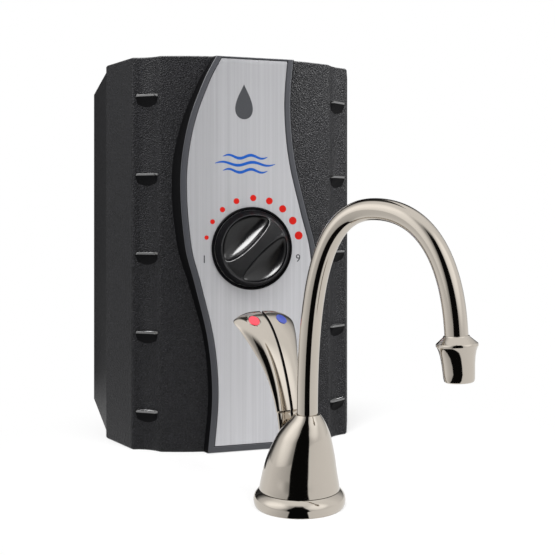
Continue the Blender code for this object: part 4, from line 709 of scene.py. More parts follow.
def carved(shape, steps):
    """The shape after exact Booleans with other shapes, given as (operation, shape) pairs."""
    base = new_object("carving", shape)
    others = []
    for operation, other in steps:
        others.append(new_object("carving_tool", other))
        step = base.modifiers.new(operation.lower(), "BOOLEAN")
        step.operation = operation
        step.solver = "EXACT"
        step.object = others[-1]
    bpy.context.view_layer.update()
    result = bmesh.new()
    result.from_object(base, bpy.context.evaluated_depsgraph_get())
    for made in (base, *others):
        mesh = made.data
        bpy.data.objects.remove(made)
        bpy.data.meshes.remove(mesh)
    return result


def added(shape, other):
    """The other shape put into the first one's mesh."""
    mesh = bpy.data.meshes.new("added_shape")
    other.to_mesh(mesh)
    other.free()
    shape.from_mesh(mesh)
    bpy.data.meshes.remove(mesh)
    return shape


def finished(
    name, shape, materials, body, nodes=(), place=UPRIGHT, sharp=SHARP_ANGLE, even=False
):
    """A finished piece at the origin, riding on its body and standing for its CAD nodes.

    Even shading keeps broad faces flat beside their small rounded edges.
    """
    piece = new_object(name, placed(shape, place))
    piece.data.shade_smooth()
    piece.data.set_sharp_from_angle(angle=EVEN_SHARP_ANGLE if even else sharp)
    for material in materials:
        piece.data.materials.append(material)
    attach(piece, body)
    if nodes:
        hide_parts(*nodes)
    if even:
        step = piece.modifiers.new("even_shading", "WEIGHTED_NORMAL")
        step.keep_sharp = True


def node_copy(node):
    """A CAD node's mesh with its loose triangles merged."""
    shape = bmesh.new()
    shape.from_mesh(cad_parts[node].data)
    bmesh.ops.remove_doubles(shape, verts=shape.verts, dist=WELD)
    bmesh.ops.dissolve_limit(shape, angle_limit=FLAT_ANGLE, verts=shape.verts, edges=shape.edges)
    return shape


def on_ledge(place):
    """Whether a point of the front shell is on one of its small ledges."""
    if not LEDGE_INNER_X < abs(place.x) < LEDGE_OUTER_X or place.y > BOW_EDGE / 2:
        return False
    tops = [CASE_HEIGHT * share for share in LEDGE_TOP_SHARES]
    return any(top - LEDGE_THICKNESS - GAP < place.z < top + GAP for top in tops)


def under_ledge(face):
    """Whether a face of the front shell is the sloped underside of a small ledge."""
    place = face.calc_center_median()
    if not LEDGE_INNER_X < abs(place.x) < LEDGE_OUTER_X or face.normal.z > UNDERSIDE_SLOPE:
        return False
    unders = [CASE_HEIGHT * share - LEDGE_THICKNESS for share in LEDGE_TOP_SHARES]
    return any(under - LEDGE_GUSSET < place.z < under + GAP for under in unders)


def is_ledge_edge(edge):
    """Whether an edge is one of a ledge's outer edges."""
    if not edge.is_manifold or edge.calc_face_angle_signed() < LEDGE_EDGE_ANGLE:
        return False
    return all(on_ledge(vert.co) for vert in edge.verts)


class DISPENSER_OT_make_case(bpy.types.Operator):
    """Make the two halves of the moulded case"""

    bl_idname = "dispenser.make_case"
    bl_label = "Case"

    def execute(self, context):
        settings = context.scene.case_settings
        skin = textured_abs("textured_black_abs", settings.colour, settings.grain)
        front = node_copy("front_shell")
        ledges = [edge for edge in front.edges if is_ledge_edge(edge)]
        if not ledges:
            raise RuntimeError("the front shell has no ledges to round")
        soften(front, settings.ledge_round, 3, edges=ledges)
        for face in front.faces:
            face.material_index = int(all(on_ledge(vert.co) for vert in face.verts))
            # Painted shade: the sloped undersides of the ledges take a darker, duller black than
            # the skin
            if under_ledge(face):
                face.material_index = 2
        polished = smooth_abs("polished_black_abs", linear_colour("080809"), 0.18, 1.0, 2.0)
        # Painted shade for the ledge undersides, darker than the textured skin
        shade = smooth_abs("ledge_underside_painted_shade", linear_colour("0a0a0b"), 0.6, 0.04)
        finished(
            "case_front", front, [skin, polished, shade], "units",
            ["front_shell"], even=True,
        )
        finished(
            "case_rear", node_copy("rear_shell"), [skin], "units",
            ["rear_shell"], even=True,
        )
        return {"FINISHED"}


def bow_y(x):
    """The bowed front of the case at a distance from its middle."""
    return BOW_EDGE - BOW_RISE * (1 - (x / BOW_HALF_WIDTH) ** 2)


def panel_edges(z):
    """The left and right edges of the panel's seat at a height."""
    left = -PANEL_WAIST * smooth_share(PANEL_EDGE_SHARES, z / CASE_HEIGHT)
    right = PANEL_WAIST * smooth_share(PANEL_EDGE_SHARES, (2 * PANEL_CENTRE_Z - z) / CASE_HEIGHT)
    return left, right


def panel_sheet(margins, heights, y):
    """A sheet over the S outline, with columns at margins outside its edges and rows at heights."""
    count = 2 * len(margins)
    shape = new_grid(count - 1, len(heights) - 1)
    for vert in shape.verts:
        column = round((vert.co.x + 1) / 2 * (count - 1))
        row = round((vert.co.y + 1) / 2 * (len(heights) - 1))
        left, right = panel_edges(heights[row])
        x = left - margins[column] if column < len(margins) else right + margins[count - 1 - column]
        vert.co = (x, y, heights[row])
    return shape


def even_heights(low, high):
    """Heights of the panel's rows between two levels."""
    return [low + (high - low) * row / PANEL_ROWS for row in range(PANEL_ROWS + 1)]


def frame_ring():
    """The panel's frame: a rim round a sunken seat, its flanks spreading back to the case."""
    front = PANEL_LOW.y
    low = PANEL_LOW.z
    high = PANEL_HIGH.z
    seat_low = low + RIM_BOTTOM
    seat_high = high - RIM_TOP
    inner = even_heights(seat_low + SEAT_WIDTH, seat_high - SEAT_WIDTH)
    heights = [low, seat_low, *inner, seat_high, high]
    shape = panel_sheet([RIM_SIDE, 0.0, -SEAT_WIDTH], heights, front)

    def inside(face, shrink):
        centre = face.calc_center_median()
        left, right = panel_edges(centre.z)
        across = left + shrink - GAP < centre.x < right - shrink + GAP
        return across and seat_low + shrink - GAP < centre.z < seat_high - shrink + GAP

    window = [face for face in shape.faces if inside(face, SEAT_WIDTH)]
    bmesh.ops.delete(shape, geom=window, context="FACES")
    seat = [face for face in shape.faces if inside(face, GAP)]
    sunk = bmesh.ops.extrude_face_region(shape, geom=seat)
    bmesh.ops.delete(shape, geom=[face for face in seat if face.is_valid], context="FACES")
    verts = [item for item in sunk["geom"] if isinstance(item, bmesh.types.BMVert)]
    bmesh.ops.translate(shape, verts=verts, vec=(0, PLATE_HIGH.y + GAP - front, 0))
    back = bmesh.ops.extrude_face_region(shape, geom=shape.faces[:])
    for item in back["geom"]:
        if isinstance(item, bmesh.types.BMVert):
            left, right = panel_edges(item.co.z)
            side = -1 if item.co.x < 0 else 1
            start = item.co.x
            flares = abs(item.co.y - front) < WELD and not left - GAP < start < right + GAP
            for _ in range(PANEL_FLANK_ROUNDS):
                level = bow_y(item.co.x) - GAP
                if flares:
                    item.co.x = start + side * PANEL_FLANK_SLOPE * (level - front)
            item.co.y = bow_y(item.co.x) - GAP
    return outward(shape)


class DISPENSER_OT_make_panel(bpy.types.Operator):
    """Make the S-shaped frame and the brushed plate"""

    bl_idname = "dispenser.make_panel"
    bl_label = "Panel"

    def execute(self, context):
        settings = context.scene.panel_settings
        rim = smooth_abs("satin_grey_abs", settings.frame_colour, 0.30)
        # Painted shade: the frame's flanks get a near-black copy of the frame's plastic
        painted_flank_shade = smooth_abs("rim_flank_painted_shade", linear_colour("040405"), 0.50, 0.05)
        sheet = brushed_metal(
            "lacquered_brushed_aluminium", settings.plate_colour, settings.streak_width, 0.50, 0.5
        )
        ring = frame_ring()
        front = PANEL_LOW.y
        outer = [
            e for e in ring.edges
            if e.calc_face_angle(0.0) > SHARP_ANGLE
            and all(abs(v.co.y - front) < WELD for v in e.verts)
        ]
        soften(ring, settings.edge_round, 4, edges=outer)
        # Painted shade: faces behind the frame's rounded front edge take the near-black flank
        # finish
        for face in ring.faces:
            face.material_index = int(face.calc_center_median().y > front + settings.edge_round)
        finished(
            "panel_rim", ring, [rim, painted_flank_shade], "units", ["panel_frame"],
            even=True,
        )
        plate = panel_sheet([-GAP], even_heights(PLATE_LOW.z, PLATE_HIGH.z), PLATE_FRONT)
        thickened(plate, Vector((0, PLATE_HIGH.y - PLATE_FRONT, 0)))
        soften(plate, GAP, 2)
        way = spun(rod_profile(SOCKET_RADIUS, -OVERRUN, OVERRUN), ROD_SEGMENTS)
        plate = carved(plate, [("DIFFERENCE", placed(way, DIAL_PLACE))])
        finished("brushed_panel", plate, [sheet], "units", ["face_plate"])
        return {"FINISHED"}


def inked(shape, x, z):
    """A flat upright outline as a thin layer of ink at a place on the plate."""
    thickened(shape, Vector((0, -PRINT_DEPTH, 0)))
    return moved(shape, x, PLATE_FRONT, z)


def printed_disc(x, z, radius):
    """A disc of ink on the plate."""
    return inked(placed(new_disc(DOT_SEGMENTS, radius), STANDING), x, z)


def printed_text(words, height, x, z):
    """Plain figures as a mesh standing on the plate, centred on a point."""
    curve = bpy.data.curves.new("printed_figure", "FONT")
    curve.body = words
    curve.size = height * FIGURE_SIZE_SHARE
    curve.extrude = PRINT_DEPTH / 2
    curve.align_x = "CENTER"
    curve.align_y = "CENTER"
    holder = bpy.data.objects.new("printed_figure", curve)
    bpy.context.scene.collection.objects.link(holder)
    bpy.context.view_layer.update()
    shape = bmesh.new()
    mesh = bpy.data.meshes.new_from_object(holder)
    shape.from_mesh(mesh)
    bpy.data.meshes.remove(mesh)
    bpy.data.objects.remove(holder)
    bpy.data.curves.remove(curve)
    return moved(placed(shape, STANDING), x, PLATE_FRONT - PRINT_DEPTH / 2, z)


def printed_wave(x, z, length):
    """A wavy stroke of ink that thins toward its ends."""
    shape = new_grid(MARK_SEGMENTS, 1)
    for vert in shape.verts:
        along = vert.co.x
        side = vert.co.y
        taper = math.sqrt(max(1 - along**2, WAVE_LEAST_TAPER))
        rise = WAVE_SWING * math.sin(along * math.pi * WAVE_COUNT)
        vert.co = (along * length / 2, 0, rise + side * taper * WAVE_THICKNESS / 2)
    return inked(shape, x, z)


def printed_drop(x, z):
    """A drop of ink with its point upward."""
    shape = new_disc(MARK_SEGMENTS)
    for vert in shape.verts:
        turn = math.atan2(vert.co.x, vert.co.y)
        side = math.sin(turn) * math.sin(abs(turn) / 2) ** DROP_POINT_POWER
        vert.co = (side * DROP_WIDTH / 2, 0, math.cos(turn) * DROP_HEIGHT / 2)
    return inked(shape, x, z)


class DISPENSER_OT_print_panel(bpy.types.Operator):
    """Print the heat dots, the plain numbers and the water marks on the plate"""

    bl_idname = "dispenser.print_panel"
    bl_label = "Printing"

    def execute(self, context):
        settings = context.scene.panel_settings
        red = pad_ink("red_pad_ink", settings.dot_colour)
        dots = bmesh.new()
        for degrees, width in DOTS:
            turn = math.radians(degrees)
            x = DOT_SHIFT.x + DOT_RING * math.cos(turn)
            z = PANEL_CENTRE_Z + DOT_SHIFT.z + DOT_RING * math.sin(turn)
            added(dots, printed_disc(x, z, width / 2))
        finished("heat_dots", dots, [red], "units")
        grey = pad_ink("grey_pad_ink", linear_colour("3c3d40"))
        numbers = bmesh.new()
        for words, degrees in NUMBERS:
            turn = math.radians(degrees)
            x = NUMBER_RING * math.cos(turn)
            z = PANEL_CENTRE_Z + NUMBER_RING * math.sin(turn)
            added(numbers, printed_text(words, settings.number_height, x, z))
        finished("scale_numbers", numbers, [grey], "units")
        drop = printed_drop(DROP_X, CASE_HEIGHT * DROP_HEIGHT_SHARE)
        finished("drop_mark", drop, [grey], "units")
        blue = pad_ink("blue_pad_ink", settings.mark_colour)
        waves = bmesh.new()
        for index, length in enumerate(WAVE_LENGTHS):
            z = CASE_HEIGHT * WAVES_HEIGHT_SHARE + WAVE_PITCH * (1 - index)
            added(waves, printed_wave(WAVES_X, z, length))
        finished("water_marks", waves, [blue], "units")
        return {"FINISHED"}


def knob_top(radius):
    """Height of the knob's crown at a distance from its axis."""
    at = min(radius / KNOB_RADIUS, 1.0)
    for (inner, high), (outer, low) in zip(KNOB_PROFILE_SHARES, KNOB_PROFILE_SHARES[1:]):
        if inner <= at <= outer and outer > inner:
            height = high + (low - high) * (at - inner) / (outer - inner)
            return KNOB_FOOT + (KNOB_HEIGHT - KNOB_FOOT) * height
    return KNOB_FOOT


def scoop_outline(shrink, grow=0.0):
    """One finger scoop seen from the front: a circle cut by the waisted bar that lies along X."""
    outline = []
    fall = SCOOP_CENTRE - GRIP_HALF_WIDTH
    for step in range(SCOOP_POINTS):
        turn = math.tau * step / SCOOP_POINTS
        across = math.cos(turn)
        up = math.sin(turn)
        rim = math.sqrt((SCOOP_CENTRE * up) ** 2 + SCOOP_RADIUS**2 - SCOOP_CENTRE**2)
        to_rim = rim - SCOOP_CENTRE * up
        flare = (GRIP_FLARE_POINTER if across > 0 else GRIP_FLARE_TAIL) / SCOOP_RADIUS**2
        spread = 4 * flare * fall * across**2
        to_bar = 2 * fall / max(math.sqrt(up**2 + spread) - up, WELD)
        power = SCOOP_CORNER_POWER
        reach = shrink * (to_rim**-power + to_bar**-power) ** (-1 / power) + grow
        outline.append((reach * across, SCOOP_CENTRE + reach * up))
    return outline


def scoop_rings(rim_round):
    """Rings of a scoop's cutter, from above the knob over its rounded rim down into the bowl."""
    exit_grow = rim_round * (1 - math.cos(RIM_TURN))
    above, crown = [scoop_outline(1.0, flare * exit_grow) for flare in SCOOP_EXIT_FLARES]
    rings = [
        [(x, y, KNOB_HEIGHT + OVERRUN) for x, y in above],
        [(x, y, knob_top(math.hypot(x, y)) + rim_round / 2) for x, y in crown],
    ]
    for step in range(RIM_STEPS, -1, -1):
        turn = RIM_TURN * step / RIM_STEPS
        drop = rim_round * (1 - math.sin(turn))
        outline = scoop_outline(1.0, rim_round * (1 - math.cos(turn)))
        rings.append([(x, y, knob_top(math.hypot(x, y)) - drop) for x, y in outline])
    wall = [min(SCOOP_FULL, level - GAP) for x, y, level in rings[-1]]
    for step in range(SCOOP_DEPTH_STEPS):
        turn = BOWL_TURN * step / (SCOOP_DEPTH_STEPS - 1)
        rings.append([
            (x, y, full - (full - SCOOP_FLOOR) * math.sin(turn))
            for (x, y), full in zip(scoop_outline(math.cos(turn)), wall)
        ])
    return rings


def finger_scoop(side, rim_round):
    """A bowl-shaped cutter: a disc drawn down ring by ring."""
    shape = new_disc(SCOOP_POINTS)
    shape.verts.ensure_lookup_table()
    cap = shape.faces[:][0]
    ring = [loop.vert for loop in cap.loops]
    start = max(range(len(ring)), key=lambda index: ring[index].co.x)
    step = 1 if ring[(start + 1) % len(ring)].co.y > 0 else -1
    order = [(start + step * index) % len(ring) for index in range(len(ring))]
    for number, places in enumerate(scoop_rings(rim_round)):
        if number:
            grown = bmesh.ops.extrude_discrete_faces(shape, faces=[cap])
            cap = grown["faces"][0]
            ring = [loop.vert for loop in cap.loops]
        for index, (x, y, level) in zip(order, places):
            ring[index].co = (x * side, y * side, level)
    bmesh.ops.holes_fill(shape, edges=[edge for edge in shape.edges if edge.is_boundary])
    return outward(shape)


def eased(points, rounds):
    """An outline with its corners cut again and again until it is smooth."""
    for _ in range(rounds):
        cut = [points[0]]
        for (x0, y0), (x1, y1) in zip(points, points[1:]):
            cut.append((x0 * 0.75 + x1 * 0.25, y0 * 0.75 + y1 * 0.25))
            cut.append((x0 * 0.25 + x1 * 0.75, y0 * 0.25 + y1 * 0.75))
        points = [*cut, points[-1]]
    return points


class DISPENSER_OT_make_dial(bpy.types.Operator):
    """Make the ring and the knob with its two finger scoops"""

    bl_idname = "dispenser.make_dial"
    bl_label = "Dial"

    def execute(self, context):
        settings = context.scene.dial_settings
        gloss = smooth_abs("gloss_black_abs", settings.colour, 0.21, 0.5)
        satin = textured_abs("fine_grained_abs", settings.grip_colour, 0.0004, 0.42)
        dull = smooth_abs("satin_black_nylon", settings.colour, 0.30, 0.05)
        inner = BEZEL_RADIUS - BEZEL_WIDTH
        ring = spun(
            [
                (inner, GAP), (BEZEL_RADIUS, GAP), (BEZEL_RADIUS, BEZEL_HEIGHT),
                (inner, BEZEL_HEIGHT),
            ],
            ROUND_SEGMENTS,
        )
        soften(ring, BEZEL_ROUND, 4)
        finished(
            "dial_ring", ring, [dull], "units", ["dial_bezel"], DIAL_PLACE
        )
        profile = [(0, KNOB_FOOT)]
        for radius, height in reversed(KNOB_PROFILE_SHARES):
            level = KNOB_FOOT + (KNOB_HEIGHT - KNOB_FOOT) * height
            profile.append((KNOB_RADIUS * radius, level))
        profile[-1] = (0, KNOB_HEIGHT)
        knob = spun([profile[0], *eased(profile[1:], 2)], ROUND_SEGMENTS)
        socket = spun(rod_profile(SOCKET_RADIUS, -OVERRUN, SOCKET_DEPTH), SOCKET_SEGMENTS)
        cuts = [("DIFFERENCE", finger_scoop(side, settings.rim_round)) for side in (1, -1)]
        knob = carved(knob, [*cuts, ("DIFFERENCE", socket)])
        for face in knob.faces:
            centre = face.calc_center_median()
            if math.hypot(centre.x, centre.y) > KNOB_SHOULDER:
                face.material_index = 2
                continue
            flare = GRIP_FLARE_POINTER if centre.x > 0 else GRIP_FLARE_TAIL
            half = GRIP_HALF_WIDTH + flare * (centre.x / SCOOP_RADIUS) ** 2 - settings.rim_round / 2
            on_top = face.normal.z > GRIP_TOP_SLOPE and centre.z > SCOOP_FULL
            face.material_index = int(on_top and abs(centre.y) < half)
        place = Matrix.LocRotScale(DIAL_CENTRE, KNOB_TURN, None)
        finished(
            "dial_knob", knob, [gloss, satin, dull], "knob",
            ["thermostat_knob"], place,
        )
        return {"FINISHED"}


def smooth_profile(shares, steps):
    """Points of a smooth outline between the first and last place of a table."""
    first, last = shares[0][0], shares[-1][0]
    places = [first + (last - first) * step / steps for step in range(steps + 1)]
    return [(place, smooth_share(shares, place)) for place in places]


def leaning_bell(segments):
    """The bell: a turned shell whose rings are shifted toward the spout as they rise."""
    height = BELL_TOP - BELL_FOOT
    side = [
        (BELL_RADIUS * radius, BELL_FOOT + height * place)
        for place, radius in smooth_profile(BELL_SHARES, BELL_STEPS)
    ]
    bore = SPOUT_RADIUS + GAP
    inside = [(radius - BELL_WALL, level) for radius, level in side if level < BELL_CROWN]
    crown = smooth_share(BELL_SHARES, (BELL_CROWN - BELL_FOOT) / height)
    inside.append((BELL_RADIUS * crown - BELL_WALL, BELL_CROWN))
    shape = spun([*side, (bore, BELL_TOP), (bore, BELL_CROWN), *reversed(inside)], segments)
    for vert in shape.verts:
        radius = math.hypot(vert.co.x, vert.co.y)
        share = (vert.co.z - BELL_FOOT) / height
        lean = 1.0 if radius < bore + WELD else smooth_share(BELL_SHARES, share, 2)
        vert.co.x += SPOUT_OFFSET * lean
    return shape


def box_shape(low, high):
    """A block between two corners, for cutting."""
    shape = bmesh.new()
    bmesh.ops.create_cube(shape, size=1)
    middle = (Vector(low) + Vector(high)) / 2
    size = Vector(high) - Vector(low)
    return placed(shape, Matrix.LocRotScale(middle, None, size))


class DISPENSER_OT_make_tap_foot(bpy.types.Operator):
    """Make the tap's flange and its leaning bell"""

    bl_idname = "dispenser.make_tap_foot"
    bl_label = "Tap foot"

    def execute(self, context):
        settings = context.scene.tap_settings
        nickel = polished_nickel(settings)
        side = [
            (FLANGE_RADIUS * radius, FLANGE_HEIGHT * place)
            for place, radius in smooth_profile(FLANGE_SHARES, FLANGE_STEPS)
        ]
        flange = spun(
            [
                (GASKET_RADIUS + GAP, 0), *side, (FLANGE_TOP_BORE, FLANGE_HEIGHT),
                (FLANGE_TOP_BORE, FLANGE_STEP), (FLANGE_BORE, FLANGE_STEP),
                (FLANGE_BORE, FLANGE_RECESS), (GASKET_RADIUS + GAP, FLANGE_RECESS),
            ],
            settings.segments,
        )
        soften(flange, FLANGE_ROUND, 2)
        finished(
            "tap_flange", flange, [nickel], "units", ["base_flange"], TAP_PLACE
        )
        bell = leaning_bell(settings.segments)
        slot = box_shape(
            (-2 * BELL_RADIUS, -SLOT_HALF_WIDTH, SLOT_FLOOR),
            (SLOT_FRONT, SLOT_HALF_WIDTH, BELL_TOP + OVERRUN),
        )
        bell = carved(bell, [("DIFFERENCE", slot)])
        finished("tap_bell", bell, [nickel], "units", ["base_bell"], TAP_PLACE)
        return {"FINISHED"}


def spout_runs():
    """The bent tube's centre line as cubic runs of four points, and the top of its nozzle."""
    lean = Vector((math.sin(SPOUT_END_LEAN), 0, -math.cos(SPOUT_END_LEAN)))
    foot = Vector((0, 0, SPOUT_FOOT))
    rise = Vector((0, 0, SPOUT_RISE_START))
    apex = Vector((SPOUT_APEX_REACH, 0, SPOUT_TOP))
    end = Vector((SPOUT_REACH, 0, SPOUT_END))
    last = end + lean * (NOZZLE_SETBACK + NOZZLE_INSERT)
    pull = Vector((0, 0, SPOUT_RISE_PULL))
    before = apex - Vector((SPOUT_APEX_PULL_IN, 0, 0))
    beyond = apex + Vector((SPOUT_APEX_PULL_OUT, 0, 0))
    runs = [
        (foot, foot.lerp(rise, 1 / 3), foot.lerp(rise, 2 / 3), rise),
        (rise, rise + pull, before, apex), (apex, beyond, end - lean * SPOUT_END_PULL, end),
        (end, end.lerp(last, 1 / 3), end.lerp(last, 2 / 3), last),
    ]
    return runs, end + lean * NOZZLE_SETBACK


def bent_tube(runs, segments):
    """A tube with a real wall: a grid that goes out along the skin and back along the bore."""
    rings = []
    for run in runs:
        steps = SPOUT_STRAIGHT_STEPS if run in (runs[0], runs[-1]) else SPOUT_BEND_STEPS
        for step in range(steps + (run is runs[-1])):
            share = step / steps
            near = min(share + LEVER_SPINE_STEP_SHARE, 1)
            far = max(share - LEVER_SPINE_STEP_SHARE, 0)
            ahead = (cubic(run, near) - cubic(run, far)).normalized()
            rings.append((cubic(run, share), ahead.cross(Vector((0, 1, 0)))))
    levels = [(*ring, SPOUT_RADIUS) for ring in rings]
    levels += [(*ring, SPOUT_RADIUS - SPOUT_WALL) for ring in reversed(rings)]
    levels.append(levels[0])
    shape = new_grid(len(levels) - 1, segments)
    for vert in shape.verts:
        index = round((vert.co.x + 1) / 2 * (len(levels) - 1))
        turn = (vert.co.y + 1) * math.pi
        middle, side, radius = levels[index]
        vert.co = middle + (side * math.cos(turn) + Vector((0, math.sin(turn), 0))) * radius
    bmesh.ops.remove_doubles(shape, verts=shape.verts, dist=WELD)
    return outward(shape)


class DISPENSER_OT_make_spout(bpy.types.Operator):
    """Make the swan-neck spout, its nozzle and its flow straightener"""

    bl_idname = "dispenser.make_spout"
    bl_label = "Spout"

    def execute(self, context):
        settings = context.scene.tap_settings
        nickel = polished_nickel(settings)
        runs, nozzle_top = spout_runs()
        pipe = bent_tube(runs, settings.segments)
        finished(
            "swan_neck", pipe, [nickel], "spout", ["spout_tube"], SWIVEL_PLACE
        )
        side = [(NOZZLE_RADIUS * radius, NOZZLE_LENGTH * along) for along, radius in NOZZLE_SHARES]
        mouth = NOZZLE_LENGTH - NOZZLE_MOUTH_DEPTH
        socket = SPOUT_RADIUS + GAP
        nozzle = spun(
            [
                *side, (NOZZLE_MOUTH, NOZZLE_LENGTH), (NOZZLE_MOUTH, mouth), (NOZZLE_THROAT, mouth),
                (NOZZLE_THROAT, NOZZLE_INSERT + GAP), (socket, NOZZLE_INSERT + GAP), (socket, 0),
            ],
            settings.segments,
        )
        place = SWIVEL_PLACE @ Matrix.LocRotScale(
            nozzle_top, Euler((math.pi, -SPOUT_END_LEAN, 0)), None
        )
        finished(
            "spout_tip", nozzle, [nickel], "spout", ["spout_nozzle"], place,
            sharp=NOZZLE_SHARP_ANGLE,
        )
        return {"FINISHED"}


def cubic(points, share):
    """A point on a cubic curve."""
    rest = 1 - share
    return (
        points[0] * rest**3
        + points[1] * 3 * rest**2 * share
        + points[2] * 3 * rest * share**2
        + points[3] * share**3
    )


def lever_spine(share):
    """A point on the levers' inner face along the split, the way ahead and the way inward."""
    step = LEVER_SPINE_STEP_SHARE
    ahead = (cubic(LEVER_PULLS, share + step) - cubic(LEVER_PULLS, share - step)).normalized()
    return cubic(LEVER_PULLS, share), ahead, Vector((ahead.z, 0, -ahead.x))


def lever_measures(share):
    """Half width, thickness, crown and sunk depth of a petal at a place along it."""
    if share >= LEVER_FACE_START_SHARE:
        measures = [smooth_share(LEVER_FACE_SHARES, share, column) for column in (1, 2, 3)]
        width, thickness, crown = measures
        sunk = 0.0
    else:
        rows = LEVER_FOOT_SHARES
        index = max(i for i in range(len(rows) - 1) if rows[i][0] <= share or i == 0)
        low, high = rows[index], rows[index + 1]
        t = (share - low[0]) / (high[0] - low[0])
        width, thickness, crown = [a + (b - a) * t for a, b in zip(low[1:], high[1:])]
        past = max(share - LEVER_INSET_END_SHARE, 0)
        sunk = 1 - past / (LEVER_FACE_START_SHARE - LEVER_INSET_END_SHARE)
    return (
        LEVER_HALF_WIDTH * width, LEVER_THICKNESS * thickness, LEVER_CROWN * crown,
        LEVER_STEP * sunk,
    )


def petal(side):
    """One petal: a grid bent along the spine, with its back face drawn out behind it."""
    shape = new_grid(LEVER_ROWS, LEVER_COLUMNS)
    thickened(shape, Vector((0, 0, 1)))
    places = [LEVER_INSET_END_SHARE, LEVER_FACE_START_SHARE]
    for vert in shape.verts:
        share = (vert.co.x + 1) / 2
        nearest = min(places, key=lambda place: abs(place - share))
        if abs(nearest - share) < 0.5 / LEVER_ROWS:
            share = nearest
        across = (vert.co.y + 1) / 2
        behind = vert.co.z > 0.5
        point, _, inward = lever_spine(share)
        width, thickness, crown, sunk = lever_measures(share)
        fall = crown * across**LEVER_CROWN_POWER + sunk
        edge = across**LEVER_EDGE_POWER
        share_back = 1 - LEVER_EDGE_SHARE * edge if behind else LEVER_FRONT_EDGE_SHARE * edge
        y = side * (LEVER_SPLIT + (width - LEVER_SPLIT) * across)
        vert.co = point + Vector((0, y, 0)) - inward * (fall + thickness * share_back)
    return outward(shape)


def marker_shape(side, grow, low, high):
    """An oval plug for a marker, or for its pocket, square to the petal's face."""
    point, ahead, inward = lever_spine(MARKER_SHARE)
    across = MARKER_Y / LEVER_HALF_WIDTH
    power = LEVER_CROWN_POWER
    slope = power * LEVER_CROWN * across ** (power - 1) / LEVER_HALF_WIDTH
    normal = (inward + Vector((0, side * slope, 0))).normalized()
    centre = point + Vector((0, side * MARKER_Y, 0)) - inward * LEVER_CROWN * across**power
    sideways = normal.cross(ahead).normalized()
    shape = new_disc(ROD_SEGMENTS)
    thickened(shape, Vector((0, 0, 1)))
    for vert in shape.verts:
        depth = high if vert.co.z > 0.5 else low
        long_way = ahead * (MARKER_LONG + grow) * vert.co.x
        short_way = sideways * (MARKER_SHORT + grow) * vert.co.y
        vert.co = centre + long_way + short_way + normal * depth
    return outward(shape)


def lying_rod(radius, near, far):
    """A rod along Y between two places."""
    shape = spun(rod_profile(radius, near, far), ROD_SEGMENTS)
    return placed(shape, Matrix.Rotation(-math.pi / 2, 4, "X"))


class DISPENSER_OT_make_levers(bpy.types.Operator):
    """Make the two petal levers and their coloured markers"""

    bl_idname = "dispenser.make_levers"
    bl_label = "Levers"

    def execute(self, context):
        settings = context.scene.tap_settings
        nickel = polished_nickel(settings)
        # Painted shade: a near-black finish for the petals' faces along the split between them
        split_shade = plated_metal("split_face_painted_shade", linear_colour("15130f"), 0.5)
        enamels = {
            "hot": glass_enamel("red_glass_enamel", linear_colour("dc3c4c")),
            "cold": glass_enamel("blue_glass_enamel", linear_colour("33459e")),
        }
        for name, side, slot in (("hot", -1, "red_enamel"), ("cold", 1, "blue_enamel")):
            lever = petal(side)
            soften(lever, settings.petal_round, 3)
            near, far = sorted((side * LEVER_SPLIT, side * (SLOT_HALF_WIDTH - 2 * GAP)))
            heel = box_shape((-HEEL_REACH, near, -HEEL_DROP), (0, far, 0))
            hub = lying_rod(HUB_RADIUS, near, far)
            way = lying_rod(PIN_RADIUS + GAP, -SLOT_HALF_WIDTH - OVERRUN, SLOT_HALF_WIDTH + OVERRUN)
            pocket = marker_shape(side, GAP, -MARKER_THICKNESS - GAP, OVERRUN)
            steps = [("UNION", heel), ("UNION", hub), ("DIFFERENCE", way), ("DIFFERENCE", pocket)]
            lever = carved(lever, steps)
            lever.normal_update()
            # Painted shade: faces along the split that face the other petal take the near-black
            # finish
            for face in lever.faces:
                within = abs(face.calc_center_median().y) < LEVER_SPLIT + settings.petal_round
                face.material_index = int(within and face.normal.y * side < LEVER_SIDE_SLOPE)
            finished(
                f"{name}_petal", lever, [nickel, split_shade], f"{name}_petal",
                [f"{name}_lever"], LEVER_PLACE,
            )
            marker = marker_shape(side, 0.0, -MARKER_THICKNESS, GAP)
            soften(marker, GAP, 3)
            finished(
                f"{name}_dot", marker, [enamels[name]], f"{name}_petal",
                [f"{name}_marker"], LEVER_PLACE,
            )
        return {"FINISHED"}


class DISPENSER_OT_finish_inner_pieces(bpy.types.Operator):
    """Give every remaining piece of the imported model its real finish"""

    bl_idname = "dispenser.finish_inner_pieces"
    bl_label = "Inner pieces"

    def execute(self, context):
        finishes = {
            "brass": turned_metal("turned_brass", linear_colour("c09a52"), 0.30),
            "stainless_steel": turned_metal("drawn_stainless", linear_colour("a9a9a6"), 0.30),
            "copper": turned_metal("drawn_copper", linear_colour("c07850"), 0.34),
            "white_foam": soft_polymer("bead_foam", linear_colour("e6e4dc"), 0.9, 0.0030, 0.0003),
            "natural_nylon": soft_polymer(
                "moulded_nylon", linear_colour("d9d4c4"), 0.45, 0.0012, 0.00004
            ),
            "black_rubber": soft_polymer(
                "moulded_rubber", linear_colour("17171a"), 0.75, 0.0006, 0.00004
            ),
            "smooth_dark_plastic": smooth_abs("satin_black_abs", linear_colour("232427"), 0.34),
            "gloss_black_plastic": smooth_abs("moulded_black_nylon", linear_colour("141416"), 0.26),
        }
        for name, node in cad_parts.items():
            if node.hide_render:
                continue
            current = node.material_slots[0].material.name.split(".")[0]
            if current not in finishes:
                raise RuntimeError(f"{name} still has the plain finish {current}")
            node.material_slots[0].material = finishes[current]
        return {"FINISHED"}


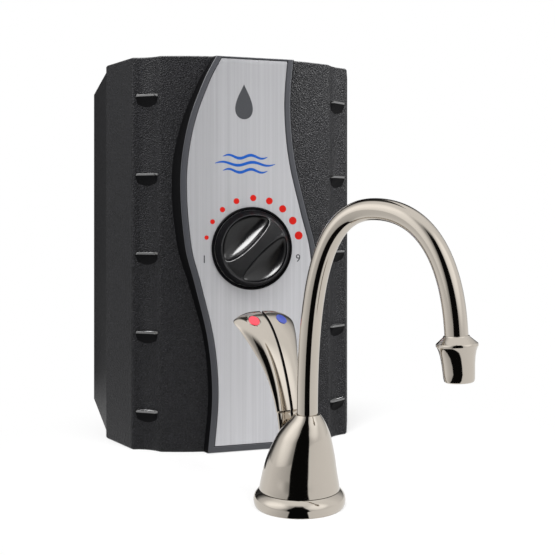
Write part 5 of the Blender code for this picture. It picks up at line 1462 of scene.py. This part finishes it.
def soft_lamp(name, place, target, size, power):
    """A soft area lamp aimed at a point."""
    lamp = bpy.data.lights.new(name, "AREA")
    lamp.shape = "RECTANGLE"
    lamp.size, lamp.size_y = size
    lamp.energy = power
    holder = bpy.data.objects.new(name, lamp)
    holder.location = place
    holder.rotation_euler = (Vector(target) - Vector(place)).to_track_quat("-Z", "Y").to_euler()
    bpy.context.scene.collection.objects.link(holder)
    holder.visible_glossy = False
    return holder


class DISPENSER_OT_make_stage(bpy.types.Operator):
    """Make the floor, the lamps, the background and the camera"""

    bl_idname = "dispenser.make_stage"
    bl_label = "Stage"

    def execute(self, context):
        settings = context.scene.stage_settings
        scene = context.scene
        floor = new_grid(8, 8, FLOOR_REACH)
        self.stage_piece("floor", floor, self.floor_paint(settings))
        self.make_tent()
        self.make_tank_lamps(settings.tank_lamps)
        for name, place, target, size, share in STUDIO_LAMPS:
            soft_lamp(name, place, target, size, settings.key * share)
        self.make_world(scene, settings)
        self.make_camera(scene)
        scene.view_settings.view_transform = "Standard"
        return {"FINISHED"}

    def make_camera(self, scene):
        """The camera of the main view."""
        camera = bpy.data.cameras.new("camera")
        camera.sensor_width = 36
        camera.lens = CAMERA_LENS
        camera.shift_y = CAMERA_SHIFT
        camera.clip_start = 0.01
        camera.dof.use_dof = False
        holder = bpy.data.objects.new("camera", camera)
        holder.location = CAMERA_PLACE
        holder.rotation_euler = (math.pi / 2, 0, CAMERA_TURN)
        scene.collection.objects.link(holder)
        scene.camera = holder

    def stage_piece(self, name, shape, material):
        """A piece of the studio, which isn't part of the object."""
        piece = new_object(name, shape)
        piece.data.materials.append(material)
        return piece

    def floor_paint(self, settings):
        """Seamless white paper: it keeps the shadow near the object and fades to clean white."""
        made, tree, shader, where = new_material("white_paper")
        tint, _ = mottled(tree, where, 300.0, 3.0, settings.floor_colour, 0.99, 1.01)
        set_shader(tree, shader, base_color=tint, roughness=0.9, specular_ior_level=0.0)
        away = add_node(tree, "VectorMath", {0: where, 1: FLOOR_CLEAN_CENTRE}, operation="DISTANCE")
        near, far = FLOOR_CLEAN_REACH
        fade = add_node(
            tree, "MapRange",
            {"Value": away.outputs["Value"], "From Min": near, "From Max": far, "To Min": 0.62},
            interpolation_type="SMOOTHSTEP",
        )
        path = add_node(tree, "LightPath")
        share = add_node(
            tree, "Math", {0: fade, 1: path.outputs["Is Camera Ray"]}, operation="MULTIPLY"
        )
        clean = add_node(tree, "Emission", {"Color": (1, 1, 1, 1), "Strength": 1.0})
        mix = add_node(tree, "MixShader", {0: share, 1: shader, 2: clean})
        set_input(tree, tree.nodes["Material Output"].inputs["Surface"], mix)
        return made

    def make_tent(self):
        """The cloth dome and the table round the set, seen only in glossy surfaces."""
        dome = bmesh.new()
        bmesh.ops.create_uvsphere(
            dome, u_segments=TENT_SEGMENTS, v_segments=TENT_SEGMENTS // 2, radius=TENT_RADIUS
        )
        bmesh.ops.bisect_plane(
            dome, geom=dome.verts[:] + dome.edges[:] + dome.faces[:], plane_co=(0, 0, 0),
            plane_no=(0, 0, 1), clear_inner=True,
        )
        table = new_disc(TENT_SEGMENTS, TENT_RADIUS)
        cloths = (
            ("light_tent", dome, TENT_STOPS, TENT_GLOWS), ("light_table", table, TABLE_STOPS, ())
        )
        for name, shape, stops, glows in cloths:
            moved(shape, TAP_CENTRE.x, TAP_CENTRE.y, GAP)
            piece = self.stage_piece(name, shape, self.tent_cloth(name, stops, glows))
            for ray in ("camera", "diffuse", "shadow", "transmission"):
                setattr(piece, f"visible_{ray}", False)

    def tent_cloth(self, name, stops, glows):
        """Lit cloth in greys by bearing: its dark front gives polished metal its black strip."""
        made = bpy.data.materials.new(name)
        made.use_nodes = True
        tree = made.node_tree
        tree.nodes.clear()
        where = add_node(tree, "TexCoord").outputs["Object"]
        centred = add_node(
            tree, "VectorMath", {0: where, 1: (TAP_CENTRE.x, TAP_CENTRE.y, 0)}, operation="SUBTRACT"
        )
        turned = add_node(
            tree, "VectorRotate", {"Vector": centred, "Angle": TENT_TURN}, rotation_type="Z_AXIS"
        )
        length = add_node(tree, "VectorMath", {0: turned}, operation="LENGTH")
        far = length.outputs["Value"]
        way = add_node(tree, "VectorMath", {0: turned}, operation="NORMALIZE")
        parts = add_node(tree, "SeparateXYZ", {0: way})
        flipped = add_node(tree, "Math", {0: parts.outputs["Y"], 1: -1.0}, operation="MULTIPLY")
        bearing = add_node(tree, "Math", {0: parts.outputs["X"], 1: flipped}, operation="ARCTAN2")
        share = self.widened_bearing(tree, bearing, parts.outputs["Z"], far)
        ramp = add_node(tree, "ValToRGB", {0: share})
        marks = ramp.color_ramp.elements
        marks.remove(marks[0])
        for index, (degrees, grey) in enumerate(stops):
            place = (degrees + 180) / 360
            mark = marks[0] if index == 0 else marks.new(place)
            mark.position = place
            mark.color = (grey, grey, grey, 1)
        start, full = TENT_TOP_START
        overhead = add_node(
            tree, "MapRange",
            {"Value": parts.outputs["Z"], "From Min": start, "From Max": full},
            interpolation_type="SMOOTHSTEP",
        )
        top = (TENT_TOP_GREY, TENT_TOP_GREY, TENT_TOP_GREY, 1)
        mix = add_node(tree, "Mix", {0: overhead, 6: ramp, 7: top}, data_type="RGBA")
        total = mix.outputs[2]
        for glow in glows:
            soft = self.glow_share(tree, way, *glow)
            total = add_node(tree, "VectorMath", {0: total, 1: soft}, operation="ADD")
        strength = self.dimmed_behind(tree, bearing, far)
        light = add_node(tree, "Emission", {"Color": total, "Strength": strength})
        add_node(tree, "OutputMaterial", {"Surface": light})
        return made

    def widened_bearing(self, tree, bearing, height, far):
        """A bearing as a share of the full turn, widened high up and near the middle.

        The dark front is narrower there, and bearings past the steady one stay as they are.
        """
        squared = add_node(tree, "Math", {0: height, 1: 2.0}, operation="POWER")
        near, clear = TENT_MIDDLE_REACH
        beside = add_node(
            tree, "MapRange", {"Value": far, "From Min": near, "From Max": clear, "To Min": 2.0}
        )
        spread = add_node(
            tree, "Math", {0: squared, 1: TENT_NARROWING, 2: beside}, operation="MULTIPLY_ADD"
        )
        aside = add_node(tree, "Math", {0: bearing}, operation="ABSOLUTE")
        widened = add_node(tree, "Math", {0: aside, 1: spread}, operation="MULTIPLY")
        limit = add_node(tree, "Math", {0: aside, 1: TENT_STEADY}, operation="MAXIMUM")
        held = add_node(tree, "Math", {0: widened, 1: limit}, operation="MINIMUM")
        hand = add_node(tree, "Math", {0: bearing}, operation="SIGN")
        wide = add_node(tree, "Math", {0: held, 1: hand}, operation="MULTIPLY")
        return add_node(
            tree, "MapRange", {"Value": wide, "From Min": -math.pi, "From Max": math.pi}
        )

    def glow_share(self, tree, way, degrees, rise, half_width, peak):
        """A round soft glow on the cloth, at a bearing and a rise over the floor in degrees."""
        turn = math.radians(degrees)
        climb = math.radians(rise)
        aim = Vector((math.sin(turn), -math.cos(turn), 0)) * math.cos(climb)
        aim += Vector((0, 0, math.sin(climb)))
        near = add_node(tree, "VectorMath", {0: way, 1: aim}, operation="DOT_PRODUCT")
        edge = math.cos(math.radians(half_width))
        return add_node(
            tree, "MapRange",
            {"Value": near.outputs["Value"], "From Min": edge, "From Max": 1.0, "To Max": peak},
            interpolation_type="SMOOTHERSTEP",
        )

    def dimmed_behind(self, tree, bearing, far):
        """The cloth's strength: full, and almost none far out behind on the left."""
        lit, dark = TENT_BEHIND
        near, distant = TENT_DISTANT
        behind = add_node(tree, "MapRange", {"Value": bearing, "From Min": lit, "From Max": dark})
        away = add_node(tree, "MapRange", {"Value": far, "From Min": near, "From Max": distant})
        gloom = add_node(tree, "Math", {0: behind, 1: away}, operation="MULTIPLY")
        return add_node(tree, "MapRange", {"Value": gloom, "To Min": 1.0, "To Max": 0.05})

    def make_tank_lamps(self, power):
        """Softboxes that light and shine on some of the tank's pieces only."""
        for name, place, target, size, share, pieces in TANK_LAMPS:
            lit = bpy.data.collections.new(f"lit_by_{name}")
            for piece in pieces:
                lit.objects.link(bpy.data.objects[piece])
            lamp = soft_lamp(name, place, target, size, power * share)
            lamp.visible_glossy = True
            lamp.light_linking.receiver_collection = lit

    def make_world(self, scene, settings):
        """White where the camera, gloss or glass sees it, and an even fill elsewhere."""
        world = bpy.data.worlds.new("studio")
        world.use_nodes = True
        scene.world = world
        tree = world.node_tree
        tree.nodes.clear()
        path = add_node(tree, "LightPath")
        seen = add_node(
            tree, "Math",
            {0: path.outputs["Is Camera Ray"], 1: path.outputs["Is Glossy Ray"]},
            operation="MAXIMUM",
        )
        seen = add_node(
            tree, "Math", {0: seen, 1: path.outputs["Is Transmission Ray"]}, operation="MAXIMUM"
        )
        strength = add_node(
            tree, "MapRange", {"Value": seen, "To Min": settings.fill, "To Max": 1.0}
        )
        light = add_node(tree, "Background", {"Color": (1, 1, 1, 1), "Strength": strength})
        add_node(tree, "OutputWorld", {"Surface": light})


class DISPENSER_PT_sidebar(bpy.types.Panel):
    """The dispenser's settings and pieces"""

    bl_idname = "DISPENSER_PT_sidebar"
    bl_label = "Hot Water Dispenser"
    bl_space_type = "VIEW_3D"
    bl_region_type = "UI"
    bl_category = "Dispenser"

    def draw(self, context):
        layout = self.layout
        for owner in SETTINGS:
            group = getattr(context.scene, owner)
            box = layout.box()
            for name in group.__annotations__:
                box.prop(group, name)
        column = layout.column(align=True)
        for made in OPERATORS:
            column.operator(made.bl_idname)


SETTINGS = {
    "case_settings": CaseSettings, "panel_settings": PanelSettings, "dial_settings": DialSettings,
    "tap_settings": TapSettings, "stage_settings": StageSettings,
}
OPERATORS = (
    DISPENSER_OT_make_case, DISPENSER_OT_make_panel, DISPENSER_OT_print_panel,
    DISPENSER_OT_make_dial, DISPENSER_OT_make_tap_foot, DISPENSER_OT_make_spout,
    DISPENSER_OT_make_levers, DISPENSER_OT_finish_inner_pieces, DISPENSER_OT_make_stage,
)


def register():
    for name, group in SETTINGS.items():
        bpy.utils.register_class(group)
        setattr(bpy.types.Scene, name, PointerProperty(type=group))
    for made in (*OPERATORS, DISPENSER_PT_sidebar):
        bpy.utils.register_class(made)


def unregister():
    for made in (DISPENSER_PT_sidebar, *reversed(OPERATORS)):
        bpy.utils.unregister_class(made)
    for name, group in reversed(SETTINGS.items()):
        delattr(bpy.types.Scene, name)
        bpy.utils.unregister_class(group)


def main():
    register()
    bpy.ops.dispenser.make_case()
    bpy.ops.dispenser.make_panel()
    bpy.ops.dispenser.print_panel()
    bpy.ops.dispenser.make_dial()
    bpy.ops.dispenser.make_tap_foot()
    bpy.ops.dispenser.make_spout()
    bpy.ops.dispenser.make_levers()
    bpy.ops.dispenser.finish_inner_pieces()
    bpy.ops.dispenser.make_stage()


if __name__ == "__main__":
    main()
